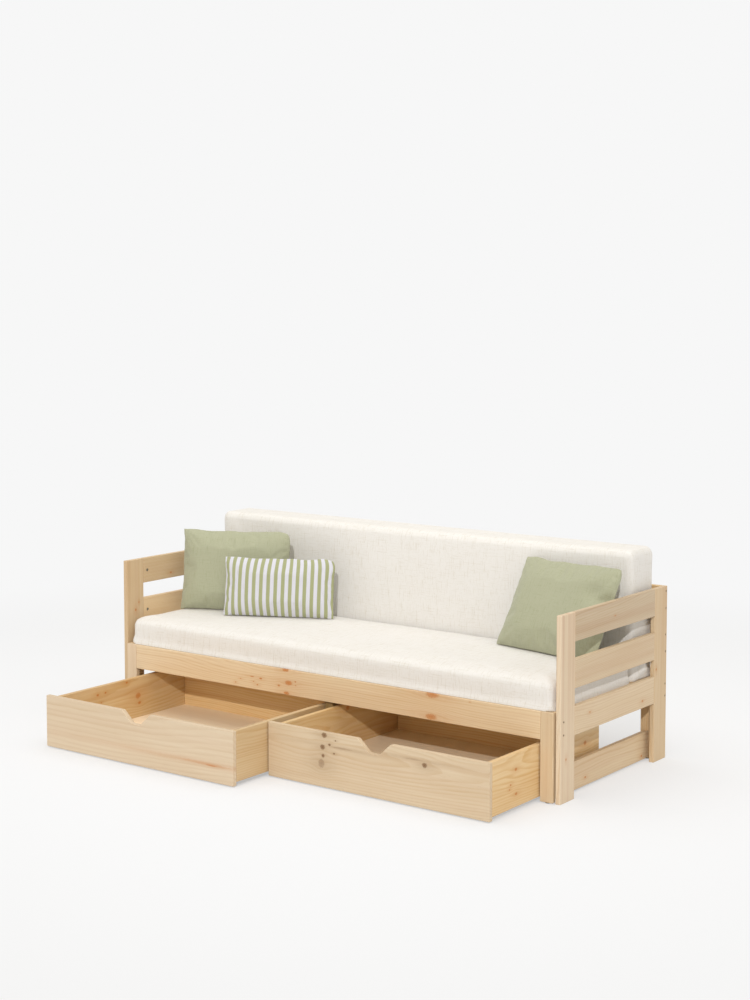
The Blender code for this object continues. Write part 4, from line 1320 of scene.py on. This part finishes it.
def keep_out(piece, supports):
    """Pushes a pillow's points out of what it lies on and leans on."""
    places = points_of(piece)
    for tree, direction in supports:
        way = Vector(direction)
        for k, place in enumerate(places):
            start = Vector(place) - way * PILLOW_PRESS
            hit = tree.ray_cast(start, way, PILLOW_PRESS + PILLOW_CLEAR)[0]
            if hit is not None:
                places[k] = hit - way * PILLOW_CLEAR
    move_points(piece, places)


class SOFA_OT_sew_pillows(bpy.types.Operator):
    """Sew and fill the two plain pillows and the small striped one."""

    bl_idname = "sofa_bed.sew_pillows"
    bl_label = "Sew Pillows"

    def execute(self, context):
        sage = tuple(colours().sage)
        deep = toned(sage, (0.74, 0.76, 0.66))
        for node in ("pillow_left", "pillow_right"):
            piece = self.fill(node)
            dress(piece, woven(node + "_linen", sage, deep, seed_of(node), 0.55, 0.2)[0])
        piece = self.fill("pillow_striped")
        dress(piece, self.striped("pillow_striped_linen"))
        return {"FINISHED"}

    def fill(self, node):
        middle, axes, size = pillow_frame(node)
        width, height, thickness = (float(value) for value in size)
        width *= PILLOW_EASE[node]
        piece, spots = pillow_skin(node, width, height, thickness)
        rim = np.maximum(np.abs(spots[:, 0]), np.abs(spots[:, 1])) > 0.9999
        inflate(piece, PILLOW_FRAMES, PILLOW_CAP, add_group(piece, "seam", rim), PILLOW_LOOSE)
        piece.vertex_groups.clear()
        places = points_of(piece)
        places[:, 2] *= thickness / (places[:, 2].max() - places[:, 2].min())
        for u, v, wide, tall, depth in PILLOW_DENTS.get(node, []):
            near = np.exp(-((spots[:, 0] - u) / wide) ** 2 - ((spots[:, 1] - v) / tall) ** 2)
            places[:, 2] -= depth * near * (spots[:, 2] > 0)
        places = places @ axes.T + middle
        beside = places[:, 2] < ARM_TOP
        places[beside, 0] = np.clip(places[beside, 0], -ARM_INSIDE, ARM_INSIDE)
        now = bpy.context.evaluated_depsgraph_get()
        seat, back = (BVHTree.FromObject(bpy.data.objects[name], now)
                      for name in ("seat_cushion_cover", "back_cushion_cover"))
        move_points(piece, settle(places, spots, seat))
        subdivide_once(piece)
        keep_out(piece, [(seat, (0, 0, -1)), (back, (0, 1, 0))])
        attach(piece, "pull_out_frame")
        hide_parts(node)
        return piece

    def striped(self, name):
        """White and sage stripes woven in, with the linen's slubs over both."""
        material, s, surface, weave = woven(name, (1, 1, 1), (1, 1, 1), 5.3, 0.45, 0.2)
        repeats = s.over(s.axes(s.weave_place())[0], sizes().stripe_pitch)
        wave = s.math("FRACT", s.plus(repeats, 0.25))
        stripe = s.ramp(s.math("ABSOLUTE", s.minus(wave, 0.5)), 0.262, 0.242)
        colour = s.mix(stripe, tuple(colours().stripe_sage), tuple(colours().stripe_white))
        shade = s.mix(s.times(weave["Upright Slubs"], 0.30), colour, (0.70, 0.70, 0.62),
                      blend="MULTIPLY")
        shade = s.mix(s.times(weave["Clouds"], 0.12), shade, (0.75, 0.75, 0.70),
                      blend="MULTIPLY")
        s.feed(surface.inputs["Base Color"], shade)
        return material


# ---------------------------------------------------------------- stage


CAMERA_PLACE = (3.790, -4.922, 1.645)
CAMERA_VIEW = (-0.5948, 0.8000, -0.0784)
CAMERA_LENS = 63.35
CAMERA_SHIFT = (0.0017, -0.0706)
SUN_FROM = (0.60, -1.00, 0.64)
SUN_WIDTH = 0.6             # degrees across
SUN_PLACE = (3.0, -5.0, 3.2)
OVERHEAD_PLACE = (0.1, 0.0, 3.4)
OVERHEAD_SIZE = (4.0, 3.0)
FLOOR_RADIUS = 30.0
FLOOR_NEAR = 2.2            # the floor takes shadow up to here
FLOOR_FAR = 4.0             # and is all backdrop from here
SHADOW_SHARE = 0.55


def seen_directly(s):
    """One where a ray shows the thing itself: to the camera, in a mirror or through glass."""
    rays = s.node("LightPath").outputs
    seen = s.math("MAXIMUM", rays["Is Camera Ray"], rays["Is Glossy Ray"])
    return s.math("MAXIMUM", seen, rays["Is Transmission Ray"])


class SOFA_OT_set_stage(bpy.types.Operator):
    """Lay the pale floor and set the camera, the lamps and the backdrop."""

    bl_idname = "sofa_bed.set_stage"
    bl_label = "Set Stage"

    def execute(self, context):
        self.floor()
        self.camera(context)
        self.lamps()
        self.world(context)
        context.scene.view_settings.view_transform = "Standard"
        return {"FINISHED"}

    def floor(self):
        start_clean()
        bpy.ops.mesh.primitive_circle_add(vertices=128, radius=FLOOR_RADIUS, fill_type="NGON")
        floor = bpy.context.active_object
        floor.name = floor.data.name = "floor"
        material, s, surface = new_material("pale_floor")
        s.feed_all(surface, {"Base Color": tuple(colours().floor), "Roughness": 0.9,
                             "Specular IOR Level": 0.0})
        parts = s.axes(s.object_place())
        distance = s.math("SQRT", s.squares(parts[0], parts[1]))
        near = s.ramp(distance, FLOOR_FAR, FLOOR_NEAR)
        plain = s.times(near, -SHADOW_SHARE, 1.0)
        glow = s.node("Emission", {"Color": tuple(colours().backdrop), "Strength": 1.0})
        both = s.node("MixShader", {0: s.times(seen_directly(s), plain), 1: surface.outputs[0],
                                    2: glow.outputs[0]})
        out = next(n for n in material.node_tree.nodes if n.type == "OUTPUT_MATERIAL")
        s.feed(out.inputs["Surface"], both.outputs[0])
        dress(floor, material)

    def camera(self, context):
        start_clean()
        bpy.ops.object.camera_add(location=CAMERA_PLACE)
        camera = bpy.context.active_object
        camera.name = "camera"
        camera.rotation_euler = Vector(CAMERA_VIEW).to_track_quat("-Z", "Y").to_euler()
        camera.data.lens = CAMERA_LENS
        camera.data.shift_x, camera.data.shift_y = CAMERA_SHIFT
        camera.data.clip_end = 100.0
        context.scene.camera = camera

    def lamps(self):
        start_clean()
        bpy.ops.object.light_add(type="SUN", location=SUN_PLACE)
        sun = bpy.context.active_object
        sun.name = "sun"
        sun.rotation_euler = Vector(SUN_FROM).to_track_quat("Z", "Y").to_euler()
        sun.data.energy = light().sun
        sun.data.angle = radians(SUN_WIDTH)
        start_clean()
        bpy.ops.object.light_add(type="AREA", location=OVERHEAD_PLACE)
        lamp = bpy.context.active_object
        lamp.name = "overhead"
        lamp.data.shape = "RECTANGLE"
        lamp.data.size, lamp.data.size_y = OVERHEAD_SIZE
        lamp.data.energy = light().overhead

    def world(self, context):
        world = bpy.data.worlds.new("studio")
        world.use_nodes = True
        world.node_tree.nodes.clear()
        s = Shader(world.node_tree)
        even = s.node("Background", {"Color": tuple(colours().sky), "Strength": light().sky})
        backdrop = s.node("Background", {"Color": tuple(colours().backdrop), "Strength": 1.0})
        both = s.node("MixShader", {0: seen_directly(s), 1: even.outputs[0],
                                    2: backdrop.outputs[0]})
        s.node("OutputWorld", {"Surface": both.outputs[0]})
        context.scene.world = world


class SOFA_PT_panel(bpy.types.Panel):
    """Lists the steps and the sizes, colours and lights that a maker would change."""

    bl_idname = "SOFA_PT_panel"
    bl_label = "Sofa Bed"
    bl_space_type = "VIEW_3D"
    bl_region_type = "UI"
    bl_category = "Sofa Bed"

    def draw(self, context):
        for step in STEPS:
            self.layout.operator(step.bl_idname)
        for group in (context.scene.sofa_sizes, context.scene.sofa_colours,
                      context.scene.sofa_light):
            box = self.layout.box()
            for name in type(group).__annotations__:
                box.prop(group, name)


STEPS = (SOFA_OT_finish_boards, SOFA_OT_lay_slats, SOFA_OT_fit_screws, SOFA_OT_fit_cam_discs,
         SOFA_OT_finish_gear, SOFA_OT_sew_seat_cushion, SOFA_OT_sew_back_cushion,
         SOFA_OT_sew_pillows, SOFA_OT_set_stage)
CLASSES = (SofaSizes, SofaColours, SofaLight, *STEPS, SOFA_PT_panel)


def register():
    for made in CLASSES:
        bpy.utils.register_class(made)
    bpy.types.Scene.sofa_sizes = PointerProperty(type=SofaSizes)
    bpy.types.Scene.sofa_colours = PointerProperty(type=SofaColours)
    bpy.types.Scene.sofa_light = PointerProperty(type=SofaLight)


def unregister():
    del bpy.types.Scene.sofa_light
    del bpy.types.Scene.sofa_colours
    del bpy.types.Scene.sofa_sizes
    for made in reversed(CLASSES):
        bpy.utils.unregister_class(made)


def main():
    register()
    bpy.ops.sofa_bed.finish_boards()
    bpy.ops.sofa_bed.lay_slats()
    bpy.ops.sofa_bed.fit_screws()
    bpy.ops.sofa_bed.fit_cam_discs()
    bpy.ops.sofa_bed.finish_gear()
    bpy.ops.sofa_bed.sew_seat_cushion()
    bpy.ops.sofa_bed.sew_back_cushion()
    bpy.ops.sofa_bed.sew_pillows()
    bpy.ops.sofa_bed.set_stage()
    start_clean()


if __name__ == "__main__":
    main()
